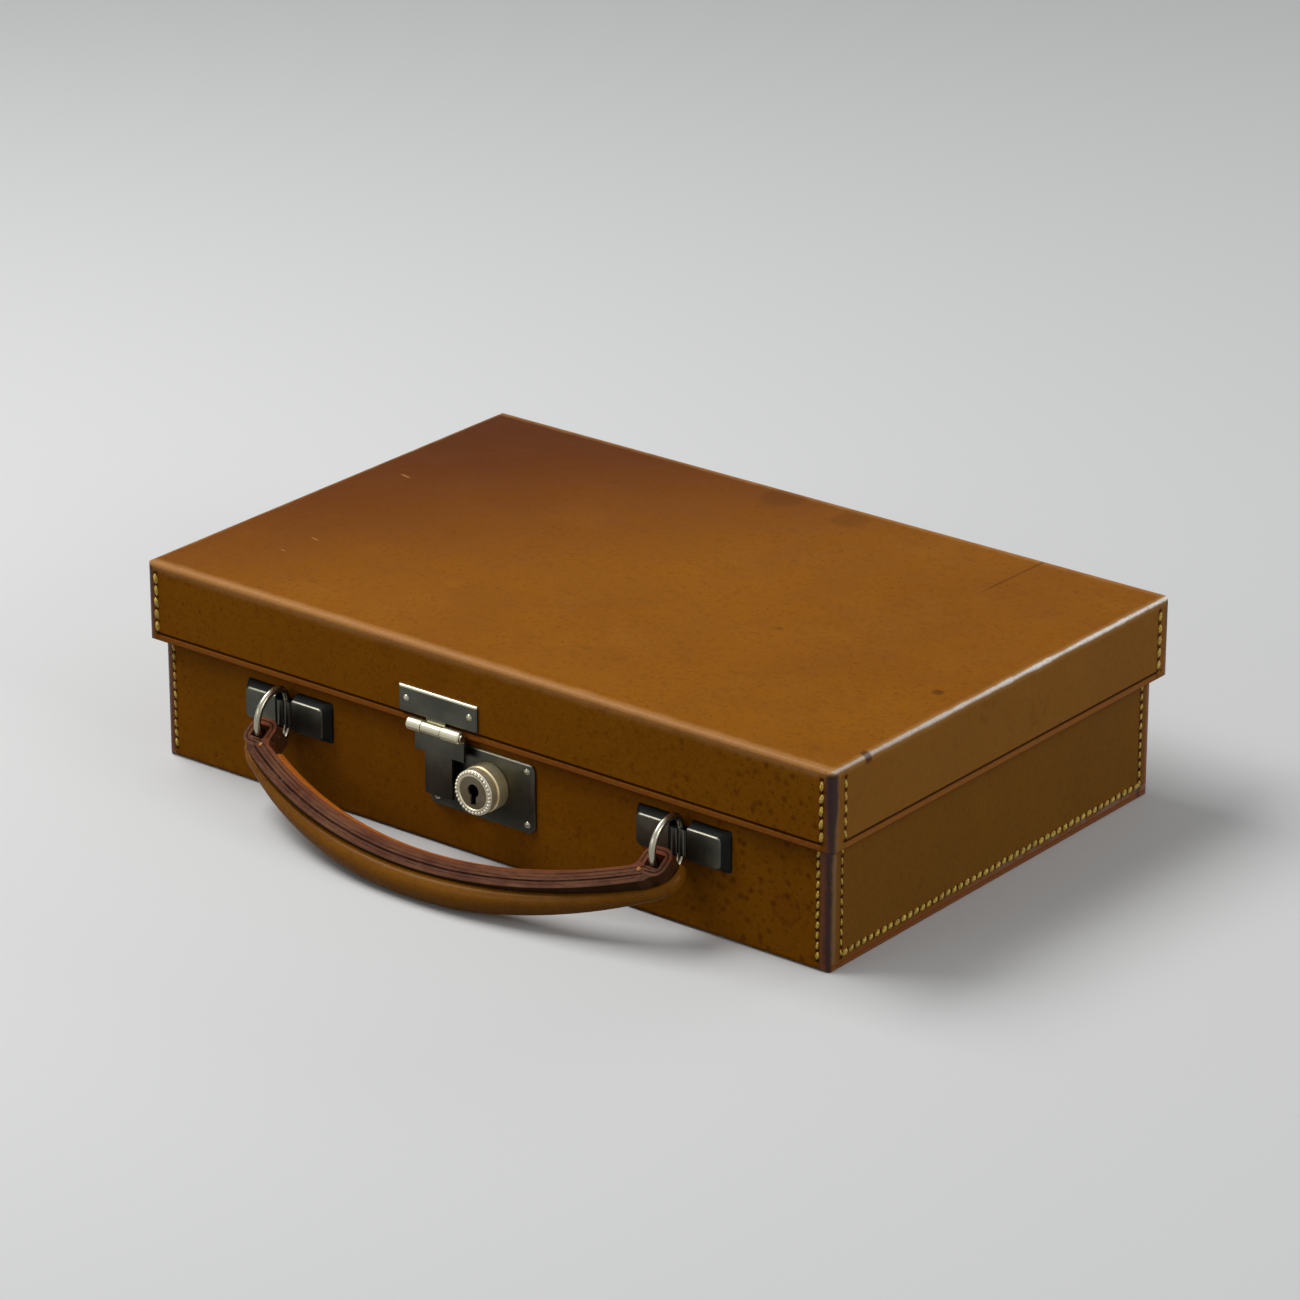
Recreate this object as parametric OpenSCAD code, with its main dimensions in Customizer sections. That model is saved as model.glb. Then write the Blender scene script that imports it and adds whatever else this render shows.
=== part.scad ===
// Small attache case for writing things: a saddle-leather box with a full overlapping lid,
// a hasp and sliding-nozzle lock, and a bow handle on two wire rings.
// Origin: centre of the base's footprint, on the surface it stands on. +X along the front,
// front face towards -Y, +Z up.

/* [Case] */
// Outside width of the lid
case_w = 356; // [320:1:420]
// Outside depth of the lid, front to back
case_d = 231.5; // [200:0.5:280]
// Height of base that shows below the closed lid
base_show = 53; // [50:0.5:70]
// Outside height of the lid
lid_h = 35; // [30:0.5:50]
// How far the lid stands out past the base on each side
overhang = 4.6; // [4.4:0.1:6]
// How far the base walls rise inside the lid
rim_up = 10; // [6:0.5:14]
// Gap between the base walls and the inside of the lid
lid_gap = 0.8; // [0.6:0.05:1]
// Radius of the sewn upright corners
corner_r = 3.5; // [2:0.1:5]
// Radius of the folded edges
fold_r = 2.6; // [1.5:0.1:4]

/* [Leather and boards] */
// Leather of the base
base_cover_t = 2.2; // [1.8:0.1:3]
// Board behind the leather of the base
base_board_t = 2.4; // [1.6:0.1:3.2]
// Leather of the lid
lid_cover_t = 2; // [1.6:0.1:2.4]
// Board under the top of the lid
lid_top_board_t = 2.4; // [1.6:0.1:3.2]
// Lining of base and lid
lining_t = 0.6; // [0.4:0.1:1]
// Height of the creased line above the lid's rim
crease_up = 3.4; // [2.5:0.1:6]
// Depth of the creased line
crease_deep = 0.5; // [0.3:0.05:0.8]
// Distance from an upright corner to its row of stitches
seam_in = 5.6; // [4:0.1:8]

/* [Lock] */
// Width of the lock plate
plate_w = 55; // [52:0.5:64]
// Height of the lock plate
plate_h = 30; // [28:0.5:34]
// Thickness of the lock plate
plate_t = 1.2; // [0.8:0.1:1.6]
// Height of the lock plate's middle above the ground
plate_z = 33.8; // [30:0.1:36]
// Corner radius of the lock plate
plate_r = 3.5; // [1:0.1:5]
// Radius of the nozzle
nozzle_r = 9.9; // [9:0.1:11]
// How far the nozzle stands out of the leather
nozzle_out = 12; // [10:0.1:14]
// Distance from the case's middle to the nozzle's middle, at rest
nozzle_x = 4.6; // [3:0.1:6]
// Height of the nozzle's middle above the plate's middle
nozzle_up = 0.7; // [0:0.1:1.5]
// Travel of the nozzle when it is slid to open
nozzle_travel = 5; // [4:0.1:5.5]
// Number of beads round the nozzle's face
bead_count = 32; // [20:1:32]
// Radius of the round part of the keyhole
keyhole_r = 2.8; // [2:0.1:3.4]
// Inside depth of the lock case behind the leather's face
lock_deep = 6.8; // [6.5:0.1:9]

/* [Hasp] */
// Distance from the case's middle to the hasp's middle
hasp_x = -18; // [-20:0.1:-16]
// Width of the plate that holds the hasp on the lid
hasp_plate_w = 41; // [36:0.5:48]
// Height of that plate
hasp_plate_h = 11.3; // [9:0.1:14]
// Thickness of the hasp's metal
hasp_t = 1.3; // [1:0.1:1.6]
// Outside radius of the hasp's barrel
barrel_r = 2.7; // [2.4:0.1:3.2]
// Length of the barrel
barrel_w = 27; // [24:0.5:30]
// Length of the hasp below its hinge axis
hasp_drop = 29.3; // [26:0.1:32]
// Width of the hasp's shoulders
hasp_w = 25.6; // [22:0.1:30]
// Width of the hasp's tongue
tongue_w = 14.2; // [12:0.1:16]

/* [Handle fittings] */
// Distance from the case's middle to each ring
ring_x = 102.9; // [90:0.1:130]
// Width of a handle plate
mount_w = 46; // [40:0.5:54]
// Height of a handle plate's raised face
mount_h = 13; // [12:0.1:15]
// How far a handle plate stands out of the leather
mount_out = 4.6; // [4.4:0.1:6]
// Radius of the ring's wire
wire_r = 1.5; // [1.2:0.05:1.8]
// Radius of the ring's front, to the middle of the wire
ring_r = 12; // [11:0.1:13]
// Height of the ring's middle above the ground
ring_z = 38.4; // [36:0.1:40]

/* [Handle] */
// Radius of the handle's bow, to the outside of its plies
bow_r = 215; // [180:1:260]
// Reach of the bow past the rings' middle, to the outside of its plies
bow_reach = 46.5; // [42:0.5:52]
// Thickness of the stack of plies
stack_t = 8.6; // [7:0.1:10]
// Thickness of the outer looped ply
outer_ply_t = 1.9; // [1.6:0.1:2.2]
// Thickness of the looped ply inside it
inner_ply_t = 1.6; // [1.3:0.1:1.9]
// Height of the plies above the rings' middle line
ply_up = 3.5; // [2:0.1:4]
// Height of the plies below the rings' middle line
ply_down = 7.5; // [6:0.1:8]
// Radius of the padded roll on the handle's outside
roll_r = 6.9; // [6:0.1:8]
// Thickness of the facing inside the hand, at its fullest
grip_lining_t = 2.4; // [1.6:0.1:2.8]
// How far the padded roll stands out past the plies at the middle
roll_out = 7.9; // [6.5:0.1:9]
// Radius of the roll's outer edge, tighter than the bow so that the roll thins out at its ends
roll_bow_r = 178; // [170:1:190]

/* [Hinges and stays] */
// Distance from the case's middle to each back hinge
hinge_x = 110; // [70:1:130]
// Width of a back hinge
hinge_w = 48; // [30:1:60]
// Height of a back hinge's lower leaf
hinge_leaf_h = 16; // [12:0.5:24]
// Thickness of the hinge leaves
hinge_t = 1; // [0.8:0.1:1.2]
// Outside radius of the hinge barrels
hinge_r = 2.1; // [1.8:0.05:2.2]
// Radius of the hinge pins
hinge_pin_r = 0.9; // [0.7:0.05:1.1]
// Radius of the lid stays, from the hinge axis
stay_r = 40; // [34:0.5:42]
// Width of the stays' strip
stay_w = 6; // [4:0.5:8]
// Thickness of the stays' strip
stay_t = 1.2; // [1:0.1:2]
// How far the lid opens, in degrees
lid_open = 85; // [70:1:85]

/* [Pocket] */
// Width of the letter pocket in the lid
pocket_w = 300; // [200:1:310]
// Depth of the letter pocket, from its mouth to the hinge side
pocket_l = 150; // [100:1:180]
// Room inside the letter pocket
pocket_room = 6; // [5:0.5:10]
// Thickness of the pocket's leather
pocket_t = 1.2; // [0.8:0.1:1.6]

/* [Hidden] */

// Clearances: a running fit on a pin, a gap between pieces that slide past each other,
// and a spare length for cutters
fit = 0.05;
slip = 0.3;
over = 1;

leather_colour = "peru";
edge_colour = "saddlebrown";
metal_colour = "silver";
lining_colour = "darkred";
board_colour = "tan";

base_w = case_w - 2 * overhang;
base_d = case_d - 2 * overhang;
base_h = base_show + rim_up;
base_wall = base_cover_t + base_board_t + lining_t;
front_y = -base_d / 2;
lid_front_y = -case_d / 2;
lid_wall = overhang - lid_gap;
lid_wall_board_t = lid_wall - lid_cover_t - lining_t;
lid_top_t = lid_cover_t + lid_top_board_t + lining_t;
crease_r = 0.9;
rim_edge_r = 1;

lock_from_hasp = 18.5;
plate_x = hasp_x + lock_from_hasp;
plate_face_y = front_y - plate_t;
nozzle_z = plate_z + nozzle_up;
stem_r = 4;
nozzle_cap_len = 4.6;
case_wall = 0.9;
lock_case_w = 42;
lock_case_h = 19;
lock_case_x = plate_x - 1;
rivet_r = 1;
rivet_head_r = 1.5;
rivet_in = 4;
rivet_low = 0.6;
pocket_set_back = 8;
pocket_notch_r = 16;
pen_loop_r = 6;
loop_w = 18;
loop_x = 30;
loop_from_mouth = 31;
catch_w = 4;
catch_h = 6;
catch_in = 0.6;
bolt_t = 2;
bolt_h = 7;
bolt_y = front_y + catch_in + slip;

barrel_y = lid_front_y - barrel_r - slip;
barrel_z = base_show + 1.3;
barrel_end_w = 7.1;
barrel_pin_r = 1.1;
leaf_back_y = barrel_y + barrel_r;
hasp_shift = 0.6;
shoulder_h = 11.1;
hasp_plate_bottom = base_show + 4.8;
hasp_plate_x = hasp_x - 0.5;

ring_deep = 8.6;
ring_y = front_y - ring_deep;
ring_back = 2.4;
ring_corner_r = ring_deep - ring_back;
bar_y = front_y - ring_back;

hinge_y = base_d / 2 + hinge_r + 0.2;
hinge_z = base_show - hinge_r - 0.2;
knuckle_w = hinge_w / 3;

bow_y = bow_reach - bow_r;
roll_top = 2;
tongue_t = 2;
tongue_top = 1;
tongue_from = ring_x - 4;
tongue_y = 4;
fillet_r = 4;
lining_short = 14;
lining_inset = 0.5;
roll_mid = roll_r - roll_top;
roll_ring_y = bow_reach + roll_out - roll_bow_r;
rest_gap = 0.3;
roll_s = bow_reach + roll_out - roll_r;
droop = asin((ring_z - roll_r - rest_gap) / norm([roll_s, roll_mid])) - atan2(roll_mid, roll_s);
stack_in_r = bow_r - stack_t;
eye_out = ring_r + wire_r + slip;
eye_in = sqrt(pow(ring_r - wire_r, 2) - ply_down * ply_down) - slip;
eye_room = 1.6;
eye_half_w = wire_r + slip + eye_room;
core_short = 2.5;

stay_x = base_w / 2 - base_wall - slip - stay_t;
pocket_back_y = case_d / 2 - lid_wall - pocket_set_back;

lock_rivet_deep = base_cover_t + base_board_t;
lock_rivet_places = [for (sx = [-1, 1], sz = [-1, 1])
    [plate_x + sx * (plate_w / 2 - rivet_in), plate_z + sz * (plate_h / 2 - rivet_in + rivet_low)]];
hinge_rivet_apart = 0.32;
hinge_rivet_places = [for (sx = [-1, 1], k = [-1, 1]) sx * hinge_x + k * hinge_w * hinge_rivet_apart];
hinge_base_rivet_z = hinge_z - hinge_leaf_h + rivet_in;
hinge_lid_rivet_z = base_show + hinge_leaf_h / 2 + over;
hasp_pin_places = [hasp_plate_x - hasp_plate_w / 2 + rivet_in, hasp_plate_x + hasp_plate_w / 2 - rivet_in];
hasp_pin_z = hasp_plate_bottom + hasp_plate_h / 2;
nozzle_seam = nozzle_out - plate_t - nozzle_cap_len;
keyhole_up = 0.9;
stem_len = bolt_y - plate_face_y + 0.1;
keyhole_deep = 3.6;
rim_in_r = nozzle_r * 0.8;
face_sunk = 0.5;
bead_r = 0.78;
bead_ring_r = nozzle_r * 0.9;
cap_len = nozzle_cap_len;
lock_case_right = lock_case_x + lock_case_w / 2 - case_wall;
barrel_x0 = hasp_x - barrel_w / 2;
barrel_x1 = hasp_x + barrel_w / 2;
knuckle_gap = 0.1;
knuckle_slim = 0.3;
rim_slope = 0.5;
knuckle_x0 = barrel_x0 + barrel_end_w;
knuckle_x1 = knuckle_x0 + (barrel_w - barrel_end_w) / 2;
channel_w = 9;
plate_slope = 2.4;
plate_rim = 0.8;
plate_foot = 0.3;
rib_r = 1.8;
rib_x = 1.9;
rib_out = 0.7;
groove_r = 0.6;
valley_out = ring_back + wire_r + 0.25;
channel_h = 2 * (ring_r - ring_corner_r) - 2 * slip;
stay_tail = 257;
stay_hook_span = 3;
stay_end_span = 0.5;
stay_head = 148;
stay_foot_end = 156;
keeper_span = 4;
keeper_angle = stay_tail - stay_hook_span - 2 * stay_end_span - lid_open - keeper_span;
stay_in = stay_r - stay_w / 2;
stay_out = stay_r + stay_w / 2;
stay_step = 0.4;
stay_foot_w = case_w / 2 - lid_wall - stay_x;

// What is taken off a square upright edge through the origin to leave a radius
module edge_cutter(r, length) {
    difference() {
        translate([-over, -over, 0]) cube([r + over, r + over, length]);
        translate([r, r, -over]) cylinder(r = r, h = length + 2 * over, $fn = 64);
    }
}

// Box centred on the origin, standing on z = 0, with its edges rounded:
// upright edges, top edges, bottom edges along X and bottom edges along Y
module rounded_box(w, d, h, side_r, top_r, bottom_x_r, bottom_y_r) {
    difference() {
        translate([-w / 2, -d / 2, 0]) cube([w, d, h]);
        for (mx = [0, 1], my = [0, 1]) mirror([mx, 0, 0]) mirror([0, my, 0]) {
            translate([-w / 2, -d / 2, -over]) edge_cutter(side_r, h + 2 * over);
        }
        for (my = [0, 1]) mirror([0, my, 0]) {
            if (top_r > 0)
                translate([-w / 2 - over, -d / 2, h]) rotate([0, 90, 0])
                    edge_cutter(top_r, w + 2 * over);
            if (bottom_x_r > 0)
                translate([w / 2 + over, -d / 2, 0]) rotate([0, -90, 0])
                    edge_cutter(bottom_x_r, w + 2 * over);
        }
        for (mx = [0, 1]) mirror([mx, 0, 0]) {
            if (top_r > 0)
                translate([-w / 2, -d / 2 - over, h]) rotate([-90, 0, 0])
                    edge_cutter(top_r, d + 2 * over);
            if (bottom_y_r > 0)
                translate([-w / 2, d / 2 + over, 0]) rotate([90, 0, 0])
                    edge_cutter(bottom_y_r, d + 2 * over);
        }
    }
}

// Open-topped tray, its outside w by d, with walls and a floor
module tray(w, d, z0, z1, wall, floor_t) {
    difference() {
        translate([-w / 2, -d / 2, z0]) cube([w, d, z1 - z0]);
        translate([-w / 2 + wall, -d / 2 + wall, z0 + floor_t])
            cube([w - 2 * wall, d - 2 * wall, z1 - z0]);
    }
}

// Tray turned upside down
module cap_tray(w, d, z0, z1, wall, top_t) {
    difference() {
        translate([-w / 2, -d / 2, z0]) cube([w, d, z1 - z0]);
        translate([-w / 2 + wall, -d / 2 + wall, z0 - over])
            cube([w - 2 * wall, d - 2 * wall, z1 - z0 + over - top_t]);
    }
}

// Box centred on x and z, running from y0 back to y1
module slab_y(x, z, w, h, y0, y1) {
    translate([x - w / 2, y0, z - h / 2]) cube([w, y1 - y0, h]);
}

// Round bar along Y
module bar_along_y(x, z, r, y0, y1) {
    translate([x, y0, z]) rotate([-90, 0, 0]) cylinder(r = r, h = y1 - y0, $fn = 32);
}

// Round bar along X
module bar_along_x(y, z, r, x0, x1) {
    translate([x0, y, z]) rotate([0, 90, 0]) cylinder(r = r, h = x1 - x0, $fn = 40);
}

// Domed rivet: its shank runs back from y0 to y1 and its head lies in front of y0
module rivet_y(x, z, y0, y1, facing) {
    bar_along_y(x, z, rivet_r, y0, y1);
    dome_h = 0.8;
    sphere_r = (rivet_head_r * rivet_head_r + dome_h * dome_h) / (2 * dome_h);
    head_y = facing < 0 ? y0 : y1;
    intersection() {
        translate([x, head_y - facing * (sphere_r - dome_h), z]) sphere(r = sphere_r, $fn = 32);
        bar_along_y(x, z, rivet_head_r, min(head_y, head_y + facing), max(head_y, head_y + facing));
    }
}

module base_outline() {
    rounded_box(base_w, base_d, base_h, corner_r, 0, fold_r, rim_edge_r);
}

// Room for the lock case, the catch's groove and the plate tangs in the front wall
module front_wall_cuts() {
    slab_y(lock_case_x, plate_z, lock_case_w, lock_case_h, front_y - over, front_y + base_wall + over);
    groove_bottom = plate_z + lock_case_h / 2 - over;
    translate([hasp_x - catch_w / 2 - slip, front_y - over, groove_bottom])
        cube([catch_w + 2 * slip, over + catch_in + slip, base_h + over - groove_bottom]);
    lock_rivet_bores(front_y - over, front_y + lock_rivet_deep);
}

// Bores for the lock plate's rivets, the hasp plate's pins and the hinges' rivets
module lock_rivet_bores(y0, y1) {
    for (p = lock_rivet_places) bar_along_y(p[0], p[1], rivet_r, y0, y1);
}

module hasp_pin_bores(y0, y1) {
    for (x = hasp_pin_places) bar_along_y(x, hasp_pin_z, rivet_r, y0, y1);
}

module hinge_rivet_bores(z, y0, y1) {
    for (x = hinge_rivet_places) bar_along_y(x, z, rivet_r, y0, y1);
}

module base_wrap() color(leather_colour) difference() {
    base_outline();
    translate([-base_w / 2 - over, front_y + base_cover_t, base_cover_t])
        cube([base_w + 2 * over, base_d - 2 * base_cover_t, base_h]);
    front_wall_cuts();
    hinge_rivet_bores(hinge_base_rivet_z, base_d / 2 - base_cover_t - over, base_d / 2 + over);
}

module base_end(side) color(leather_colour) intersection() {
    base_outline();
    translate([side * (base_w - base_cover_t) / 2 - base_cover_t / 2, front_y + base_cover_t, base_cover_t])
        cube([base_cover_t, base_d - 2 * base_cover_t, base_h]);
}

module base_board() color(board_colour) difference() {
    tray(base_w - 2 * base_cover_t, base_d - 2 * base_cover_t, base_cover_t, base_h,
        base_board_t, base_board_t);
    front_wall_cuts();
    hinge_rivet_bores(hinge_base_rivet_z, base_d / 2 - base_wall, base_d / 2);
}

module base_lining() color(lining_colour) difference() {
    inset = base_cover_t + base_board_t;
    tray(base_w - 2 * inset, base_d - 2 * inset, inset, base_h, lining_t, lining_t);
    front_wall_cuts();
}

// The crease runs level between the corner seams of each side
module lid_creases() {
    z = base_show + crease_up;
    out = crease_r - crease_deep;
    for (my = [0, 1]) mirror([0, my, 0])
        bar_along_x(lid_front_y - out, z, crease_r, -case_w / 2 + seam_in, case_w / 2 - seam_in);
    for (sx = [-1, 1])
        bar_along_y(sx * (case_w / 2 + out), z, crease_r, lid_front_y + seam_in, case_d / 2 - seam_in);
}

module lid_cover() color(leather_colour) difference() {
    translate([0, 0, base_show])
        rounded_box(case_w, case_d, lid_h, corner_r, fold_r, rim_edge_r, rim_edge_r);
    translate([-case_w / 2 + lid_cover_t, lid_front_y + lid_cover_t, base_show - over])
        cube([case_w - 2 * lid_cover_t, case_d - 2 * lid_cover_t, lid_h + over - lid_cover_t]);
    lid_creases();
    hinge_rivet_bores(hinge_lid_rivet_z, case_d / 2 - lid_cover_t - over, case_d / 2 + over);
    hasp_pin_bores(lid_front_y - over, lid_front_y + lid_cover_t + over);
}

// Recesses for the hinges' upper leaves, inside the lid's back wall
module hinge_leaf_recesses() {
    for (sx = [-1, 1])
        translate([sx * hinge_x - hinge_w / 2, case_d / 2 - lid_wall - over, base_show - over])
            cube([hinge_w, lid_wall - lid_cover_t + over, hinge_leaf_h + over]);
}

module lid_board() color(board_colour) difference() {
    cap_tray(case_w - 2 * lid_cover_t, case_d - 2 * lid_cover_t, base_show, base_show + lid_h - lid_cover_t,
        lid_wall_board_t, lid_top_board_t);
    hinge_leaf_recesses();
    hasp_pin_bores(lid_front_y, lid_front_y + lid_wall);
}

module lid_lining() color(lining_colour) difference() {
    inset = lid_cover_t + lid_wall_board_t;
    cap_tray(case_w - 2 * inset, case_d - 2 * inset, base_show,
        base_show + lid_h - lid_cover_t - lid_top_board_t, lining_t, lining_t);
    hinge_leaf_recesses();
}

// Letter pocket: a panel held off the lid's lining by a folded edge on three sides,
// its mouth towards the front
module letter_pocket() color(leather_colour) {
    ceiling = base_show + lid_h - lid_top_t;
    back = pocket_back_y;
    difference() {
        translate([-pocket_w / 2, back - pocket_l, ceiling - pocket_room - pocket_t])
            cube([pocket_w, pocket_l, pocket_room + pocket_t]);
        translate([-pocket_w / 2 + pocket_t, back - pocket_l - over, ceiling - pocket_room])
            cube([pocket_w - 2 * pocket_t, pocket_l - pocket_t + over, pocket_room + over]);
        translate([0, back - pocket_l, ceiling - pocket_room - pocket_t - over])
            cylinder(r = pocket_notch_r, h = pocket_t + 2 * over, $fn = 64);
    }
}

// Two loops for pens on the pocket's face, each with a flange that is glued down
module pen_loops() color(leather_colour) {
    face_z = base_show + lid_h - lid_top_t - pocket_room - pocket_t;
    loop_y = pocket_back_y - pocket_l + loop_from_mouth;
    mid_z = face_z - pen_loop_r / 2;
    for (x = [-loop_x, loop_x]) difference() {
        union() {
            bar_along_y(x, mid_z, pen_loop_r, loop_y, loop_y + loop_w);
            translate([x - 2 * pen_loop_r, loop_y, face_z - pocket_t])
                cube([4 * pen_loop_r, loop_w, pocket_t]);
        }
        bar_along_y(x, mid_z, pen_loop_r - pocket_t, loop_y - over, loop_y + loop_w + over);
        translate([x - 2 * pen_loop_r, loop_y - over, face_z])
            cube([4 * pen_loop_r, loop_w + 2 * over, pen_loop_r + over]);
    }
}

// Front plate of the lock: a slot for the nozzle's stem and a notch, open at the top, for the catch
module lock_plate() color(metal_colour) difference() {
    translate([plate_x, front_y, plate_z]) rotate([90, 0, 0]) difference() {
        translate([-plate_w / 2, -plate_h / 2, 0]) cube([plate_w, plate_h, plate_t]);
        for (mx = [0, 1], my = [0, 1]) mirror([mx, 0, 0]) mirror([0, my, 0])
            translate([-plate_w / 2, -plate_h / 2, -over]) edge_cutter(plate_r, plate_t + 2 * over);
    }
    for (x = [nozzle_x, nozzle_x + nozzle_travel])
        bar_along_y(x, nozzle_z, stem_r + slip, plate_face_y - over, front_y + over);
    slab_y(nozzle_x + nozzle_travel / 2, nozzle_z, nozzle_travel, 2 * (stem_r + slip),
        plate_face_y - over, front_y + over);
    catch_bottom = plate_z - catch_h / 2 - slip;
    translate([hasp_x - catch_w / 2 - slip, plate_face_y - over, catch_bottom])
        cube([catch_w + 2 * slip, plate_t + 2 * over, plate_h]);
    lock_rivet_bores(plate_face_y - over, front_y + over);
}

module lock_rivets() color(metal_colour) {
    for (p = lock_rivet_places) rivet_y(p[0], p[1], plate_face_y, front_y + lock_rivet_deep, -1);
}

// Box behind the plate, open towards it, with the catch's groove through its top
module lock_case() color(metal_colour) difference() {
    slab_y(lock_case_x, plate_z, lock_case_w, lock_case_h, front_y, front_y + lock_deep);
    slab_y(lock_case_x, plate_z, lock_case_w - 2 * case_wall, lock_case_h - 2 * case_wall,
        front_y - over, front_y + lock_deep - case_wall);
    translate([hasp_x - catch_w / 2 - slip, front_y - over, plate_z])
        cube([catch_w + 2 * slip, over + catch_in + slip, lock_case_h]);
}

// Housing of the nozzle, turned in one piece with its stem, which ends in a square shoulder
module nozzle_boss() color(metal_colour)
translate([nozzle_x, plate_face_y - 0.1, nozzle_z]) rotate([90, 0, 0]) {
    rear_h = nozzle_seam - 0.1;
    rotate_extrude($fn = 96) polygon([
        [0, 0], [nozzle_r, 0], [nozzle_r, rear_h - 0.5], [nozzle_r - 0.5, rear_h], [0, rear_h]
    ]);
    translate([0, 0, -stem_len]) cylinder(r = stem_r, h = stem_len, $fn = 48);
}

// Front part of the nozzle: a seam groove, a ring of beads and the keyed face
module nozzle_cap() color(metal_colour)
translate([nozzle_x, plate_face_y - nozzle_seam, nozzle_z]) rotate([90, 0, 0]) {
    difference() {
        rotate_extrude($fn = 96) polygon([
            [0, 0], [nozzle_r - 0.9, 0], [nozzle_r - 0.3, 0.6], [nozzle_r - 0.3, cap_len - 0.9],
            [nozzle_r - 0.7, cap_len - bead_r * 0.6], [rim_in_r + 0.1, cap_len - bead_r * 0.6],
            [rim_in_r, cap_len], [rim_in_r - 0.6, cap_len], [rim_in_r - 0.9, cap_len - face_sunk],
            [0, cap_len - face_sunk]
        ]);
        translate([0, keyhole_up, cap_len - keyhole_deep])
            cylinder(r = keyhole_r, h = keyhole_deep + over, $fn = 48);
        translate([-keyhole_r * 0.5, keyhole_up - keyhole_r * 2.2, cap_len - keyhole_deep])
            cube([keyhole_r, keyhole_r * 2.2, keyhole_deep + over]);
    }
    for (k = [0 : bead_count - 1]) rotate(k * 360 / bead_count)
        translate([bead_ring_r - 0.3, 0, cap_len - bead_r * 0.6]) sphere(r = bead_r, $fn = 16);
}

// Bolt carried by the nozzle's stem; its nose stands beside the hasp's catch
module lock_bolt() color(metal_colour) {
    nose_x = hasp_x + catch_w / 2 + slip;
    tail_x = nozzle_x + stem_r + 1.5;
    translate([nose_x, bolt_y, nozzle_z - bolt_h / 2]) cube([tail_x - nose_x, bolt_t, bolt_h]);
}

// Return spring between the bolt's tail and the case
module lock_spring() color(metal_colour)
    bar_along_x(bolt_y + bolt_t / 2, nozzle_z, bolt_t / 2 - 0.1, nozzle_x + stem_r + 1.5, lock_case_right);

// Plate on the lid with the middle knuckle of the hasp's hinge, which is a little slimmer
module hasp_plate() color(metal_colour) difference() {
    union() {
        slab_y(hasp_plate_x, hasp_pin_z, hasp_plate_w, hasp_plate_h, lid_front_y - plate_t, lid_front_y);
        translate([knuckle_x0, lid_front_y - plate_t, barrel_z])
            cube([knuckle_x1 - knuckle_x0, plate_t - slip, hasp_plate_bottom - barrel_z + over]);
        bar_along_x(barrel_y, barrel_z, barrel_r - knuckle_slim, knuckle_x0, knuckle_x1);
    }
    hasp_pin_bores(lid_front_y - plate_t - over, lid_front_y + over);
    bar_along_x(barrel_y, barrel_z, barrel_pin_r + fit, knuckle_x0 - over, knuckle_x1 + over);
}

module hasp_plate_pins() color(metal_colour) {
    for (x = hasp_pin_places)
        rivet_y(x, hasp_pin_z, lid_front_y - plate_t, lid_front_y + lid_cover_t + lid_wall_board_t, -1);
}

module hasp_pin() color(metal_colour) {
    bar_along_x(barrel_y, barrel_z, barrel_pin_r, barrel_x0 - 0.8, barrel_x1 + 0.8);
    for (s = [0, 1]) bar_along_x(barrel_y, barrel_z, barrel_pin_r + 0.7,
        s ? barrel_x1 + 0.1 : barrel_x0 - 0.8, s ? barrel_x1 + 0.8 : barrel_x0 - 0.1);
}

// Knuckle with chamfered rims
module rimmed_knuckle(x0, x1) {
    length = x1 - x0;
    translate([x0, barrel_y, barrel_z]) rotate([0, 90, 0]) rotate_extrude($fn = 48) polygon([
        [0, 0], [barrel_r - rim_slope, 0], [barrel_r, rim_slope], [barrel_r, length - rim_slope],
        [barrel_r - rim_slope, length], [0, length]
    ]);
}

// Hasp: two knuckles, shoulders and a narrower tongue, cut from one plate
module hasp_leaf() color(metal_colour) difference() {
    bottom_z = barrel_z - hasp_drop;
    step_z = barrel_z - shoulder_h;
    union() {
        bar_along_x(barrel_y, barrel_z, barrel_r, barrel_x0, knuckle_x0 - knuckle_gap);
        rimmed_knuckle(knuckle_x1 + knuckle_gap, barrel_x1);
        translate([hasp_x - hasp_w / 2 + hasp_shift, leaf_back_y - hasp_t, step_z])
            cube([hasp_w, hasp_t, barrel_z - step_z]);
        translate([hasp_x - tongue_w / 2, leaf_back_y - hasp_t, bottom_z])
            cube([tongue_w, hasp_t, step_z - bottom_z + over]);
    }
    translate([knuckle_x0 - knuckle_gap, leaf_back_y - barrel_r * 2, barrel_z - barrel_r - slip])
        cube([knuckle_x1 - knuckle_x0 + 2 * knuckle_gap, barrel_r * 2 + over, barrel_r + slip + over]);
    bar_along_x(barrel_y, barrel_z, barrel_pin_r + fit, barrel_x0 - over, barrel_x1 + over);
}

// Catch on the hasp's back, which drops into the lock through the notch in its plate
module hasp_catch() color(metal_colour)
    slab_y(hasp_x, plate_z, catch_w, catch_h, leaf_back_y, front_y + catch_in);

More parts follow.
